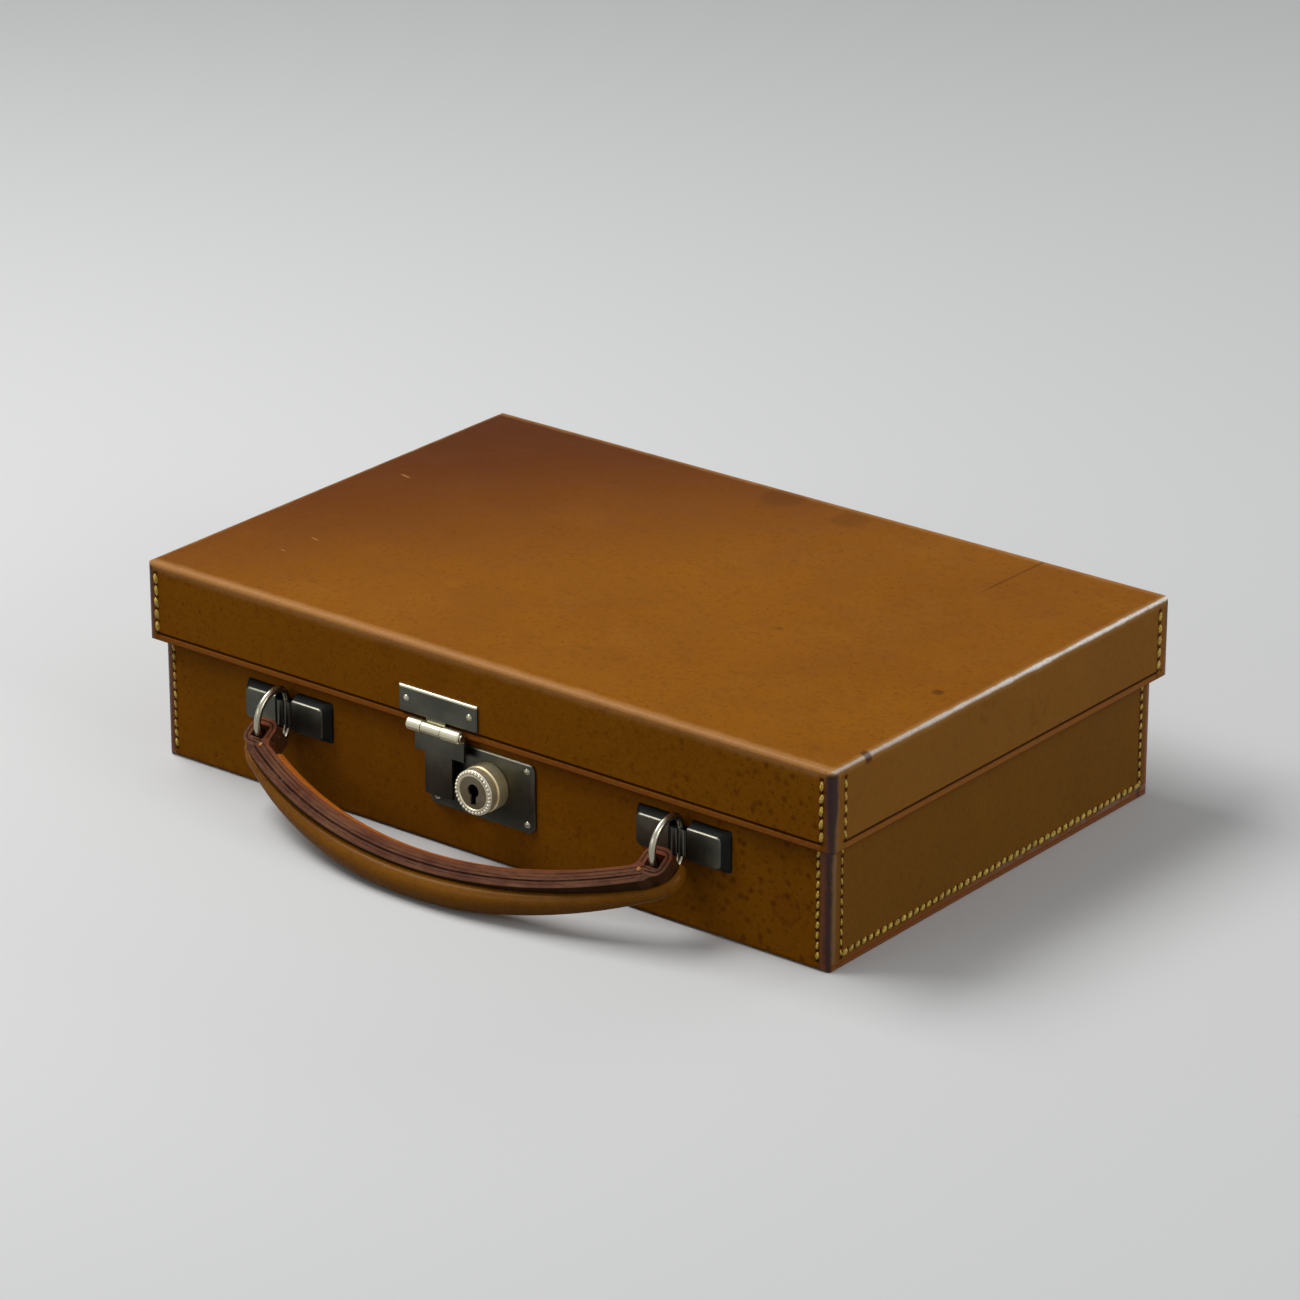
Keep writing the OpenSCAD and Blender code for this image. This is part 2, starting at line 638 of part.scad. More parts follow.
// Pressed plate with sloping sides that holds the straight back of a ring in a channel,
// under two round ribs with a sharp valley between them
module handle_plate(x) color(metal_colour)
translate([x, front_y, ring_z]) rotate([90, 0, 0]) difference() {
    foot_w = mount_w + 2 * plate_foot;
    union() {
        difference() {
            rotate([90, 0, 90]) translate([0, 0, -foot_w / 2]) linear_extrude(foot_w) polygon([
                [-mount_h / 2 - plate_slope, 0], [-mount_h / 2 - plate_slope, plate_rim],
                [-mount_h / 2, mount_out], [mount_h / 2, mount_out],
                [mount_h / 2 + plate_slope, plate_rim], [mount_h / 2 + plate_slope, 0]
            ]);
            translate([-rib_x, -channel_h / 2, valley_out])
                cube([2 * rib_x, channel_h, mount_out]);
        }
        for (s = [-1, 1]) translate([s * rib_x, channel_h / 2, mount_out + rib_out - rib_r])
            rotate([90, 0, 0]) cylinder(r = rib_r, h = channel_h, $fn = 48);
    }
    for (s = [-1, 1]) {
        translate([s * mount_w / 2, 0, 0]) rotate([90, 0, 0])
            linear_extrude(mount_h * 3, center = true) polygon([
                [0, plate_rim], [-s * plate_slope, mount_out + 0.1],
                [s * 3, mount_out + 0.1], [s * 3, plate_rim]
            ]);
        translate([-channel_w / 2, s > 0 ? channel_h / 2 : -channel_h / 2 - mount_h, -over])
            cube([channel_w, mount_h, mount_out + 2 * over]);
        translate([s * (rib_x + rib_r + groove_r / 2), 0, mount_out]) rotate([90, 0, 0])
            cylinder(r = groove_r, h = mount_h * 3, center = true, $fn = 32);
    }
    rotate([90, 0, 0]) translate([0, ring_back, 0])
        cylinder(r = wire_r + fit, h = mount_h * 3, center = true, $fn = 48);
}

// Wire ring: a straight bar at the back and a half round front, in one bent wire
module ring(x) color(metal_colour) translate([x, ring_y, ring_z]) rotate([0, 90, 0]) {
    straight = 2 * (ring_r - ring_corner_r);
    rotate([0, 0, 180]) rotate_extrude(angle = 180, $fn = 96)
        translate([ring_r, 0]) circle(r = wire_r, $fn = 32);
    for (s = [0, 1]) mirror([s, 0, 0]) translate([ring_r - ring_corner_r, 0, 0])
        rotate_extrude(angle = 90, $fn = 96) translate([ring_corner_r, 0]) circle(r = wire_r, $fn = 32);
    translate([-straight / 2, ring_corner_r, 0]) rotate([0, 90, 0])
        cylinder(r = wire_r, h = straight, $fn = 32);
}

module handle_plate_left() handle_plate(-ring_x);
module handle_plate_right() handle_plate(ring_x);
module ring_left() ring(-ring_x);
module ring_right() ring(ring_x);

// The handle is drawn flat, X along the case and Y away from the rings' middle,
// with its upper side towards -Z, then laid in the plane in which it droops
module drooping() translate([0, ring_y, ring_z]) rotate([180 + droop, 0, 0]) children();

// Hole that a ring runs through, wide enough for the ring to swing a little
module eye_hole(side) {
    round_r = 1.8;
    translate([side * ring_x, (eye_in + eye_out) / 2]) offset(r = round_r, $fn = 32)
        square([2 * (eye_half_w - round_r), eye_out - eye_in - 2 * round_r], center = true);
}

// Outline of the whole stack of plies, shrunk by the given amount
module stack_outline(shrink) offset(delta = -shrink)
offset(r = -fillet_r, $fn = 48) offset(r = fillet_r, $fn = 48) union() {
    intersection() {
        translate([0, bow_y]) difference() {
            circle(r = bow_r, $fn = 240);
            circle(r = stack_in_r, $fn = 240);
        }
        translate([-ring_x - 1, 0]) square([2 * (ring_x + 1), bow_reach + over]);
    }
    for (side = [-1, 1]) offset(r = outer_ply_t + inner_ply_t, $fn = 32) eye_hole(side);
}

module ply(outer, inner) translate([0, 0, -ply_up]) linear_extrude(ply_up + ply_down) difference() {
    stack_outline(outer);
    stack_outline(inner);
    for (side = [-1, 1]) eye_hole(side);
}

module handle_outer_ply() color(edge_colour) drooping() ply(0, outer_ply_t);

// The inner ply bears on the rings with a hollow that is round about their middle
module handle_inner_ply() color(edge_colour) drooping() difference() {
    lap = 0.3;
    bearing_t = 2.6;
    union() {
        ply(outer_ply_t, outer_ply_t + inner_ply_t);
        for (side = [-1, 1])
            translate([side * ring_x - eye_half_w - lap, eye_out - bearing_t, -ply_up])
                cube([2 * (eye_half_w + lap), bearing_t + lap, ply_up + ply_down]);
    }
    for (side = [-1, 1]) intersection() {
        bar_along_x(0, 0, eye_out, side * ring_x - eye_half_w, side * ring_x + eye_half_w);
        translate([side * ring_x - ring_r, eye_in, -ring_r]) cube([2 * ring_r, ring_r, 2 * ring_r]);
    }
}

// Plies between the loops, which stop short of the eyes
module handle_core() color(edge_colour) drooping() translate([0, 0, -ply_up])
    linear_extrude(ply_up + ply_down) intersection() {
        stack_outline(outer_ply_t + inner_ply_t);
        core_end = ring_x - eye_half_w - core_short;
        translate([-core_end, 0]) square([2 * core_end, bow_reach]);
    }

// Padded roll along the outside of the plies, full in the middle and thin at the ends,
// where its leather runs on as a tongue round the loops
module handle_roll() color(leather_colour) drooping() difference() {
    roll_end = ring_x + 0.5;
    half_angle = asin((roll_end + 4) / (roll_bow_r - roll_r));
    union() {
        intersection() {
            difference() {
                translate([0, roll_ring_y, roll_mid]) rotate([0, 0, 90 - half_angle])
                    rotate_extrude(angle = 2 * half_angle, $fn = 360)
                        translate([roll_bow_r - roll_r, 0]) circle(r = roll_r, $fn = 48);
                translate([0, bow_y, -3 * roll_r])
                    cylinder(r = bow_r - stack_t / 2, h = 6 * roll_r, $fn = 360);
            }
            translate([-roll_end, 0, -3 * roll_r]) cube([2 * roll_end, 2 * bow_reach, 6 * roll_r]);
        }
        for (side = [0, 1]) mirror([side, 0, 0]) translate([0, 0, tongue_top])
            linear_extrude(ply_down - tongue_top) intersection() {
                stack_outline(-tongue_t);
                union() {
                    translate([tongue_from, eye_out]) square([2 * ring_r, bow_reach]);
                    translate([ring_x, tongue_y]) square([2 * ring_r, bow_reach]);
                }
            }
    }
    translate([0, 0, -3 * roll_r]) linear_extrude(6 * roll_r) stack_outline(0);
}

// Soft leather facing along the inside of the plies, rounded to the hand
module handle_lining() color(leather_colour) drooping() {
    lining_end = ring_x - lining_short;
    half_h = (ply_up + ply_down) / 2 - lining_inset;
    pad_r = (half_h * half_h + grip_lining_t * grip_lining_t) / (2 * grip_lining_t);
    half_angle = asin((lining_end + 2 * lining_inset) / (stack_in_r - grip_lining_t));
    intersection() {
        translate([0, bow_y, (ply_down - ply_up) / 2]) rotate([0, 0, 90 - half_angle])
            rotate_extrude(angle = 2 * half_angle, $fn = 360) intersection() {
                translate([stack_in_r - grip_lining_t + pad_r, 0]) circle(r = pad_r, $fn = 96);
                translate([stack_in_r - 2 * grip_lining_t, -half_h])
                    square([2 * grip_lining_t, 2 * half_h]);
            }
        translate([-lining_end, 0, -3 * roll_r]) cube([2 * lining_end, 2 * bow_reach, 6 * roll_r]);
    }
}

// Bore of the hinges' knuckles
module hinge_bores() {
    for (x = [-hinge_x, hinge_x])
        bar_along_x(hinge_y, hinge_z, hinge_pin_r + fit, x - hinge_w / 2 - over, x + hinge_w / 2 + over);
}

// Lower leaves, outside the base's back wall, with the two outer knuckles each
module hinge_base_leaves() color(metal_colour) difference() {
    for (sx = [-1, 1]) {
        x = sx * hinge_x;
        difference() {
            translate([x - hinge_w / 2, base_d / 2, hinge_z - hinge_leaf_h])
                cube([hinge_w, hinge_t, hinge_leaf_h]);
            translate([x - knuckle_w / 2 - slip, base_d / 2 - over, hinge_z - hinge_r - slip])
                cube([knuckle_w + 2 * slip, hinge_t + 2 * over, hinge_leaf_h]);
        }
        for (k = [-1, 1]) {
            near = x + k * (knuckle_w / 2 + slip / 2);
            far = x + k * hinge_w / 2;
            bar_along_x(hinge_y, hinge_z, hinge_r, min(near, far), max(near, far));
        }
    }
    hinge_bores();
    hinge_rivet_bores(hinge_base_rivet_z, base_d / 2 - over, base_d / 2 + hinge_t + over);
}

// Upper leaves, inside the lid's back wall, with the middle knuckle each
module hinge_lid_leaves() color(metal_colour) difference() {
    leaf_y = case_d / 2 - lid_cover_t - hinge_t;
    for (sx = [-1, 1]) {
        x = sx * hinge_x;
        translate([x - hinge_w / 2, leaf_y, base_show]) cube([hinge_w, hinge_t, hinge_leaf_h]);
        translate([x - knuckle_w / 2 + slip / 2, leaf_y, hinge_z])
            cube([knuckle_w - slip, hinge_t, base_show - hinge_z + over]);
        bar_along_x(hinge_y, hinge_z, hinge_r, x - knuckle_w / 2 + slip / 2, x + knuckle_w / 2 - slip / 2);
    }
    hinge_bores();
    hinge_rivet_bores(hinge_lid_rivet_z, leaf_y - over, leaf_y + hinge_t + over);
}

module hinge_pins() color(metal_colour) {
    for (x = [-hinge_x, hinge_x])
        bar_along_x(hinge_y, hinge_z, hinge_pin_r, x - hinge_w / 2, x + hinge_w / 2);
}

module hinge_base_rivets() color(metal_colour) {
    rivet_in_y = base_d / 2 - base_cover_t - base_board_t;
    for (x = hinge_rivet_places) rivet_y(x, hinge_base_rivet_z, rivet_in_y, base_d / 2 + hinge_t, 1);
}

module hinge_lid_rivets() color(metal_colour) {
    for (x = hinge_rivet_places)
        rivet_y(x, hinge_lid_rivet_z, case_d / 2 - lid_cover_t - hinge_t, case_d / 2, 1);
}

// Flat strip bent to an arc about the hinge axis, from angle a0 to a1, between two radii
module hinge_arc(x, t, r0, r1, a0, a1) {
    translate([x, hinge_y, hinge_z]) rotate([90, 0, 90]) rotate([0, 0, a0])
        rotate_extrude(angle = a1 - a0, $fn = 180) translate([r0, 0]) square([r1 - r0, t]);
}

// Arc-shaped stays that turn with the lid; each foot reaches out to the lid's end wall
module lid_stays() color(metal_colour) {
    for (side = [-1, 1]) {
        inner = side > 0 ? stay_x : -stay_x - stay_t;
        foot = side > 0 ? stay_x : -stay_x - stay_foot_w;
        hinge_arc(inner, stay_t, stay_in, stay_out, stay_head, stay_tail);
        hinge_arc(foot, stay_foot_w, stay_in + stay_step, stay_out - stay_step,
            stay_head + 1, stay_foot_end);
        hinge_arc(inner, stay_t, stay_in - 1.5, stay_in + over, 
            stay_tail - stay_hook_span - stay_end_span, stay_tail - stay_end_span);
    }
}

// Keepers on the base's ends, which the stays slide through and which stop their tails
module stay_keepers() color(metal_colour) {
    keeper_t = 1;
    depth = slip + stay_t + slip + keeper_t;
    wall_x = base_w / 2 - base_wall;
    for (side = [-1, 1]) difference() {
        hinge_arc(side > 0 ? wall_x - depth : -wall_x, depth,
            stay_in - slip - keeper_t, stay_out + slip + keeper_t,
            keeper_angle, keeper_angle + keeper_span);
        hinge_arc(side > 0 ? wall_x - depth + keeper_t : -wall_x - over, depth - keeper_t + over,
            stay_in - slip, stay_out + slip,
            keeper_angle - 1, keeper_angle + keeper_span + 1);
    }
}

module base_left_end() base_end(-1);
module base_right_end() base_end(1);

base_wrap();
base_left_end();
base_right_end();
base_board();
base_lining();
lid_cover();
lid_board();
lid_lining();
letter_pocket();
pen_loops();
lock_plate();
lock_rivets();
lock_case();
nozzle_boss();
nozzle_cap();
lock_bolt();
lock_spring();
hasp_plate();
hasp_plate_pins();
hasp_pin();
hasp_leaf();
hasp_catch();
handle_plate_left();
handle_plate_right();
ring_left();
ring_right();
handle_outer_ply();
handle_inner_ply();
handle_core();
handle_roll();
handle_lining();
hinge_base_leaves();
hinge_lid_leaves();
hinge_pins();
hinge_base_rivets();
hinge_lid_rivets();
lid_stays();
stay_keepers();
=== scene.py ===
import math
import random

import bmesh
import bpy
from mathutils import Matrix, Vector


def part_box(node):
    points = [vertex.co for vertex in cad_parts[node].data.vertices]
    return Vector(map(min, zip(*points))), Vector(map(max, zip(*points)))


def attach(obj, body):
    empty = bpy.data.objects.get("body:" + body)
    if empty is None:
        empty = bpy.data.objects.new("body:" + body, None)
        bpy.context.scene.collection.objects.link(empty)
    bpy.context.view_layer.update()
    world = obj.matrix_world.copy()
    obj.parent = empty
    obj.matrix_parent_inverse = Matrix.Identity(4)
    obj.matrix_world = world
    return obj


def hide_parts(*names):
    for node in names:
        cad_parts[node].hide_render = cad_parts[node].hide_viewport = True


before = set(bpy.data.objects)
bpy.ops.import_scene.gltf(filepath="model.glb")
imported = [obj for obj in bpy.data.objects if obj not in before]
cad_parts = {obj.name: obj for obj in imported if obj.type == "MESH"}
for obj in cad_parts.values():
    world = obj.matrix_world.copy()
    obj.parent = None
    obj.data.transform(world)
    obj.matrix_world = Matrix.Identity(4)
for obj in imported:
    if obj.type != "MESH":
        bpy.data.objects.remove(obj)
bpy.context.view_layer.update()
scene = bpy.context.scene
scene.view_settings.view_transform = "Standard"
random.seed(1907)

# Camera, from a tripod in front of the near corner and a little above the lid. The long
# lens and the square frame keep the case's edges close to parallel.
lens = bpy.data.cameras.new("camera")
lens.lens = 155.06
lens.sensor_width = 36
lens.clip_start = 0.05
lens.clip_end = 20
camera = bpy.data.objects.new("camera", lens)
camera.matrix_world = (Matrix.Translation((1.3302, -1.6837, 0.9382))
                       @ Matrix.Rotation(math.radians(38.36), 4, "Z")
                       @ Matrix.Rotation(math.radians(67.64), 4, "X"))
scene.collection.objects.link(camera)
scene.camera = camera

# Pale studio table that the case stands on, wide enough to fill the view. Table and room
# look pale, also in what the metal mirrors, and throw little light back onto the leather.
class Flow:
    """A socket of a finish's nodes. Sums on it add Math nodes; node() adds any other."""

    def __init__(self, tree, socket):
        self.tree = tree
        self.socket = socket

    def node(self, kind, settings, links, out=0):
        made = self.tree.nodes.new(kind)
        for name, value in settings.items():
            setattr(made, name, value)
        for name, value in links.items():
            if isinstance(value, Flow):
                self.tree.links.new(value.socket, made.inputs[name])
            else:
                made.inputs[name].default_value = value
        return Flow(self.tree, made.outputs[out])

    def math(self, operation, *values):
        return self.node("ShaderNodeMath", {"operation": operation}, dict(enumerate(values)))

    def __add__(self, other):
        return self.math("ADD", self, other)

    def __sub__(self, other):
        return self.math("SUBTRACT", self, other)

    def __mul__(self, other):
        return self.math("MULTIPLY", self, other)

    def __rsub__(self, other):
        return self.math("SUBTRACT", other, self)

    __radd__ = __add__
    __rmul__ = __mul__

    def size(self):
        """How far a value lies from 0, on either side."""
        return self.math("ABSOLUTE", self)

    def larger(self, other):
        return self.math("MAXIMUM", self, other)

    def apart(self, other):
        """How far a place lies from an axis, from its two offsets square to that."""
        squares = self * self + other * other
        return squares.math("SQRT", squares)

    def rise(self, low, high):
        """A mask that goes softly from 0 at low to 1 at high, which may be the smaller one. They
        are metres where this socket is a place or a distance.
        """
        if low > high:
            return 1 - self.rise(high, low)
        settings = {"interpolation_type": "SMOOTHSTEP"}
        return self.node("ShaderNodeMapRange", settings, {0: self, 1: low, 2: high})

    def paint(self, under, over):
        """The colour under, with the colour over where this mask is 1."""
        return self.node("ShaderNodeMix", {"data_type": "RGBA"}, {0: self, 6: under, 7: over}, 2)

    def noise(self, size, detail=2.0, rough=0.5, seed=0.0, stretch=(1, 1, 1)):
        """Soft random pattern with features of about size metres."""
        moved = self.node("ShaderNodeMapping", {}, {0: self, 1: (seed, seed, seed), 3: stretch})
        links = {"Vector": moved, "Scale": 1 / size, "Detail": detail, "Roughness": rough}
        return moved.node("ShaderNodeTexNoise", {}, links)

    def cells(self, size, seed=0.0):
        """Distance to the nearest of many points that lie about size metres apart."""
        moved = self.node("ShaderNodeMapping", {}, {0: self, 1: (seed, seed, seed)})
        return moved.node("ShaderNodeTexVoronoi", {}, {"Vector": moved, "Scale": 1 / size})


def seen_pale(tree, pale, dim):
    """A colour that is pale to the eye and in a mirror, and dim in the light that it throws."""
    eye, mirror, glass = [Flow(tree, None).node("ShaderNodeLightPath", {}, {}, ray)
                          for ray in ("Is Camera Ray", "Is Glossy Ray", "Is Transmission Ray")]
    return eye.larger(mirror).larger(glass).paint(dim, pale).socket


table_half = 6
bm = bmesh.new()
bmesh.ops.create_grid(bm, x_segments=1, y_segments=1, size=table_half)
table_mesh = bpy.data.meshes.new("table")
bm.to_mesh(table_mesh)
bm.free()
table = bpy.data.objects.new("table", table_mesh)
scene.collection.objects.link(table)
table_finish = bpy.data.materials.new("table")
table_finish.use_nodes = True
table_shader = table_finish.node_tree.nodes["Principled BSDF"]
table_colour = seen_pale(table_finish.node_tree, (0.70, 0.70, 0.69, 1), (0.15, 0.15, 0.15, 1))
table_finish.node_tree.links.new(table_colour, table_shader.inputs["Base Color"])
table_shader.inputs["Roughness"].default_value = 0.9
table_shader.inputs["Specular IOR Level"].default_value = 0
table_mesh.materials.append(table_finish)

room = bpy.data.worlds.new("room")
room.use_nodes = True
scene.world = room
room_colour = seen_pale(room.node_tree, (0.70, 0.71, 0.72, 1), (0.20, 0.21, 0.22, 1))
room.node_tree.links.new(room_colour, room.node_tree.nodes["Background"].inputs["Color"])
room.node_tree.nodes["Background"].inputs["Strength"].default_value = 1


# Soft lamps: a wide one overhead for the lid, one behind for the bright edges, a broad one
# on the right for the end, and a weak one at the front.
def soft_lamp(name, place, aim, width, height, power):
    light = bpy.data.lights.new(name, "AREA")
    light.shape = "RECTANGLE"
    light.size = width
    light.size_y = height
    light.energy = power
    lamp = bpy.data.objects.new(name, light)
    turn = (Vector(aim) - Vector(place)).to_track_quat("-Z", "Y")
    lamp.matrix_world = Matrix.Translation(place) @ turn.to_matrix().to_4x4()
    scene.collection.objects.link(lamp)


soft_lamp("top_lamp", (-0.8, -0.3, 1.4), (0, 0, 0.05), 1.2, 0.8, 21)
soft_lamp("back_lamp", (0.5, 1.6, 0.8), (0, 0, 0.05), 1.0, 0.3, 3.5)
soft_lamp("end_lamp", (1.8, -0.1, 0.8), (0, 0, 0.05), 0.9, 0.7, 9)
soft_lamp("front_lamp", (-0.6, -1.8, 0.8), (0, 0, 0.05), 0.9, 0.5, 3.3)


# Leather of the base: tan bridle hide. One skin makes the front, bottom and back, and two
# end panels are sewn into it. Wiped with age, it is darker at the sewn and burnished edges.
def shade(red, green, blue):
    """A paint colour given as on a screen, 0 to 255, made linear for the shader."""
    def linear(value):
        value = value / 255
        return value / 12.92 if value < 0.04045 else ((value + 0.055) / 1.055) ** 2.4
    return (linear(red), linear(green), linear(blue), 1)


class Finish:
    """A material under way: its place on the piece, and the things that vary."""

    def __init__(self, name, roughness, metallic=0.0, coat=0.0, sheen=0.0):
        self.material = bpy.data.materials.new(name)
        self.material.use_nodes = True
        tree = self.material.node_tree
        self.shader = tree.nodes["Principled BSDF"]
        self.shader.inputs["Metallic"].default_value = metallic
        self.shader.inputs["Coat Weight"].default_value = coat
        self.shader.inputs["Coat Roughness"].default_value = 0.25
        self.shader.inputs["Sheen Weight"].default_value = sheen
        self.start = Flow(tree, None)
        self.place = self.start.node("ShaderNodeTexCoord", {}, {}, "Object")
        axes = [self.place.node("ShaderNodeSeparateXYZ", {}, {0: self.place}, axis) for axis in range(3)]
        self.x, self.y, self.z = axes
        self.colour = None
        self.roughness = roughness
        self.height = None
        self.depth = 0.0002

    def dye(self, where, colour):
        """A colour laid over what is there, where the mask is 1."""
        self.colour = where.paint(self.colour, colour)

    def coat(self, where):
        """Wax polish where the mask is high."""
        tree = self.material.node_tree
        tree.links.new(where.socket, self.shader.inputs["Coat Weight"])

    def done(self):
        tree = self.material.node_tree
        tree.links.new(self.colour.socket, self.shader.inputs["Base Color"])
        if isinstance(self.roughness, Flow):
            tree.links.new(self.roughness.socket, self.shader.inputs["Roughness"])
        else:
            self.shader.inputs["Roughness"].default_value = self.roughness
        if self.height is not None:
            links = {"Height": self.height, "Distance": self.depth, "Strength": 1.0}
            bump = self.height.node("ShaderNodeBump", {}, links)
            tree.links.new(bump.socket, self.shader.inputs["Normal"])
        return self.material


hide_pale = shade(156, 100, 22)
hide_tan = shade(143, 86, 8)
hide_brown = shade(112, 60, 5)
hide_russet = shade(104, 44, 12)
hide_burnt = shade(50, 18, 6)


def tan_hide(name, pale=hide_pale, tan=hide_tan, brown=hide_brown):
    """Smooth vegetable-tanned hide: cloudy dye, small marks, pores and scratches."""
    hide = Finish(name, 0.42)
    hide.shader.inputs["Specular IOR Level"].default_value = 0.025
    clouds = hide.place.noise(0.09, 4, 0.55)
    blotches = hide.place.noise(0.022, 5, 0.6, 3)
    tone = clouds * 0.65 + blotches * 0.35
    hide.colour = (tone.rise(0.62, 0.36) * 0.3).paint(tan, brown)
    hide.dye(hide.place.noise(0.035, 5, 0.65, 7).rise(0.5, 0.75) * 0.3, pale)
    fine = hide.place.noise(0.0045, 4, 0.7, 21)
    hide.dye(fine.rise(0.5, 0.72) * 0.28, brown)
    mottle = hide.place.noise(0.0026, 3, 0.6, 25)
    hide.dye(mottle.rise(0.52, 0.68) * 0.32, brown)
    speck_field = hide.place.noise(0.0022, 2, 0.5, 11)
    speck_area = hide.place.noise(0.03, 2, 0.5, 13).rise(0.36, 0.6)
    specks = speck_field.rise(0.6, 0.7) * speck_area * 0.4
    hide.dye(specks, hide_russet)
    scratch = hide.place.noise(0.004, 2, 0.5, 17, (1, 0.12, 1)).rise(0.735, 0.76) * 0.35
    hide.dye(scratch, hide_burnt)
    grain = hide.place.noise(0.0011, 3, 0.6, 19)
    pores = hide.place.cells(0.0009, 23).rise(0.0, 0.5)
    hide.dye(grain.rise(0.3, 0.7) * 0.14, brown)
    hide.height = grain * 0.5 + pores * 0.25 + blotches * 1.5
    hide.roughness = hide.roughness + blotches * 0.18 + specks * 0.15
    hide.clouds = clouds
    return hide


def freckled(hide):
    """Small round spots that have come up through the dye."""
    blur = hide.place.noise(0.0014, 3, 0.6, 73) * 0.3
    large = (hide.place.cells(0.0052, 71) + blur).rise(0.52, 0.30)
    small = (hide.place.cells(0.0032, 77) + blur).rise(0.46, 0.28) * 0.7
    spread = hide.place.noise(0.018, 3, 0.6, 79).rise(0.30, 0.52)
    return large.larger(small) * spread


def awl_holes(along, pitch, beside):
    """Dark where the awl has pierced the hide, once a stitch, near a seam line."""
    near = beside.size().rise(0.0016, 0.0004)
    turns = along * (2 * math.pi / pitch)
    return near * (turns.math("COSINE", turns).rise(0.1, 0.95) * 0.75 + 0.12)


def bevel_rim(bm, node, width):
    """A bevel round the outline of a plate's front face, though not along its foot."""
    low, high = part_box(node)
    flat = min(bm.faces, key=lambda face: face.normal.y * face.calc_area())
    front = flat.verts[0].co.y
    outline = [side for side in bm.edges if side.calc_face_angle(0) > 1
               and all(abs(vert.co.y - front) < 2e-5 for vert in side.verts)
               and any(all(abs(vert.co[axis] - bound[axis]) < 0.0015 for vert in side.verts)
                       for axis, bound in ((0, low), (0, high), (2, high)))]
    bmesh.ops.bevel(bm, geom=outline, offset=width, offset_type="OFFSET", affect="EDGES",
                    segments=3, profile=0.5, material=-1)


def round_corners(bm, radius, cuts=5):
    """Rounds the four corners of a plate with sloping sides, by flat cuts round each one."""
    for sx, sz in ((-1, -1), (1, -1), (-1, 1), (1, 1)):
        tip = max(bm.verts, key=lambda vert: sx * vert.co.x + sz * vert.co.z - 3 * vert.co.y)
        right, above = [face.normal.copy() for face in tip.link_faces if face.normal.y > -0.9]
        middle = tip.co - (right + above) * radius / (1 + right.dot(above))
        for number in range(1, cuts + 1):
            outward = right.lerp(above, number / (cuts + 1)).normalized()
            cut = bmesh.ops.bisect_plane(bm, geom=bm.verts[:] + bm.edges[:] + bm.faces[:], dist=1e-7,
                                         plane_co=middle + outward * radius, plane_no=outward,
                                         clear_outer=True)
            loop = [item for item in cut["geom_cut"] if isinstance(item, bmesh.types.BMEdge)]
            bmesh.ops.edgeloop_fill(bm, edges=loop)
        bmesh.ops.recalc_face_normals(bm, faces=bm.faces)


def joined(name, node, body, slot, finish, edge=0.0003, rim=0, corners=0):
    """The piece made from a solid: its facets joined and its sharp edges eased."""
    sharp = math.radians(25)
    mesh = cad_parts[node].data.copy()
    mesh.materials.clear()
    mesh.materials.append(finish)
    bm = bmesh.new()
    bm.from_mesh(mesh)
    bmesh.ops.remove_doubles(bm, verts=bm.verts, dist=2e-6)
    bmesh.ops.dissolve_limit(bm, angle_limit=math.radians(0.4), verts=bm.verts,
                             edges=bm.edges, use_dissolve_boundaries=False)
    if rim:
        bevel_rim(bm, node, rim)
    if corners:
        round_corners(bm, corners)
    for face in bm.faces:
        face.smooth = True
    for side in bm.edges:
        side.smooth = side.calc_face_angle(0) < sharp
    bm.to_mesh(mesh)
    bm.free()
    piece = bpy.data.objects.new(name, mesh)
    scene.collection.objects.link(piece)
    if edge:
        ease = piece.modifiers.new("eased edges", "BEVEL")
        ease.width = edge
        ease.segments = 2
        ease.limit_method = "ANGLE"
        ease.angle_limit = sharp
        ease.harden_normals = True
        ease.use_clamp_overlap = True
    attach(piece, body)
    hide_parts(node)


base_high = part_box("base_wrap")[1]
base_half_w = base_high.x
base_half_d = base_high.y
seam_in = 0.0055
end_seam_in = 0.0080
base_stitches = 11
base_seam_foot = 0.0045
base_seam_top = 0.0520
foot_stitches = 48
foot_seam_z = 0.0062
foot_seam_end = base_half_d - end_seam_in
hide_freckle = shade(84, 38, 3)
hide_corner = shade(100, 42, 8)
end_back = shade(142, 74, 18)
base_hide = tan_hide("base hide")
from_end = base_half_w - base_hide.x.size()
from_front = base_half_d - base_hide.y.size()
on_end = from_end.rise(0.0012, 0.0004)
on_front = from_front.rise(0.0012, 0.0004)
to_front = base_hide.y.rise(0, -0.1)
to_back = base_hide.y.rise(-0.08, 0.08)
to_right = base_hide.x.rise(0.0, 0.15)
# Painted light: the end faces get a greyer, more olive tint for the cooler light that falls on them from
# the right.
base_hide.dye(on_end * 0.42, shade(112, 86, 44))
freckles = freckled(base_hide) * (to_right * 0.8 + 0.2) * (1 - on_end * 0.85)
base_hide.dye(freckles * 0.55, hide_freckle)

# A drop that has dried low on the front, at the right, with a darker ragged rim.
drop_x = 0.153
drop_z = 0.022
drop_radius = 0.0062
drop_wander = 0.007
drop_edge = base_hide.place.noise(0.004, 4, 0.7, 75) * drop_wander - drop_wander / 2
drop = (base_hide.x - drop_x).apart(base_hide.z - drop_z) + drop_edge
drop_rim = (drop - drop_radius).size().rise(0.0013, 0.0003)
drop = drop.rise(drop_radius + 0.0004, drop_radius - 0.0006) * 0.15 + drop_rim * 0.35
base_hide.dye(drop * on_front * to_front, hide_russet)
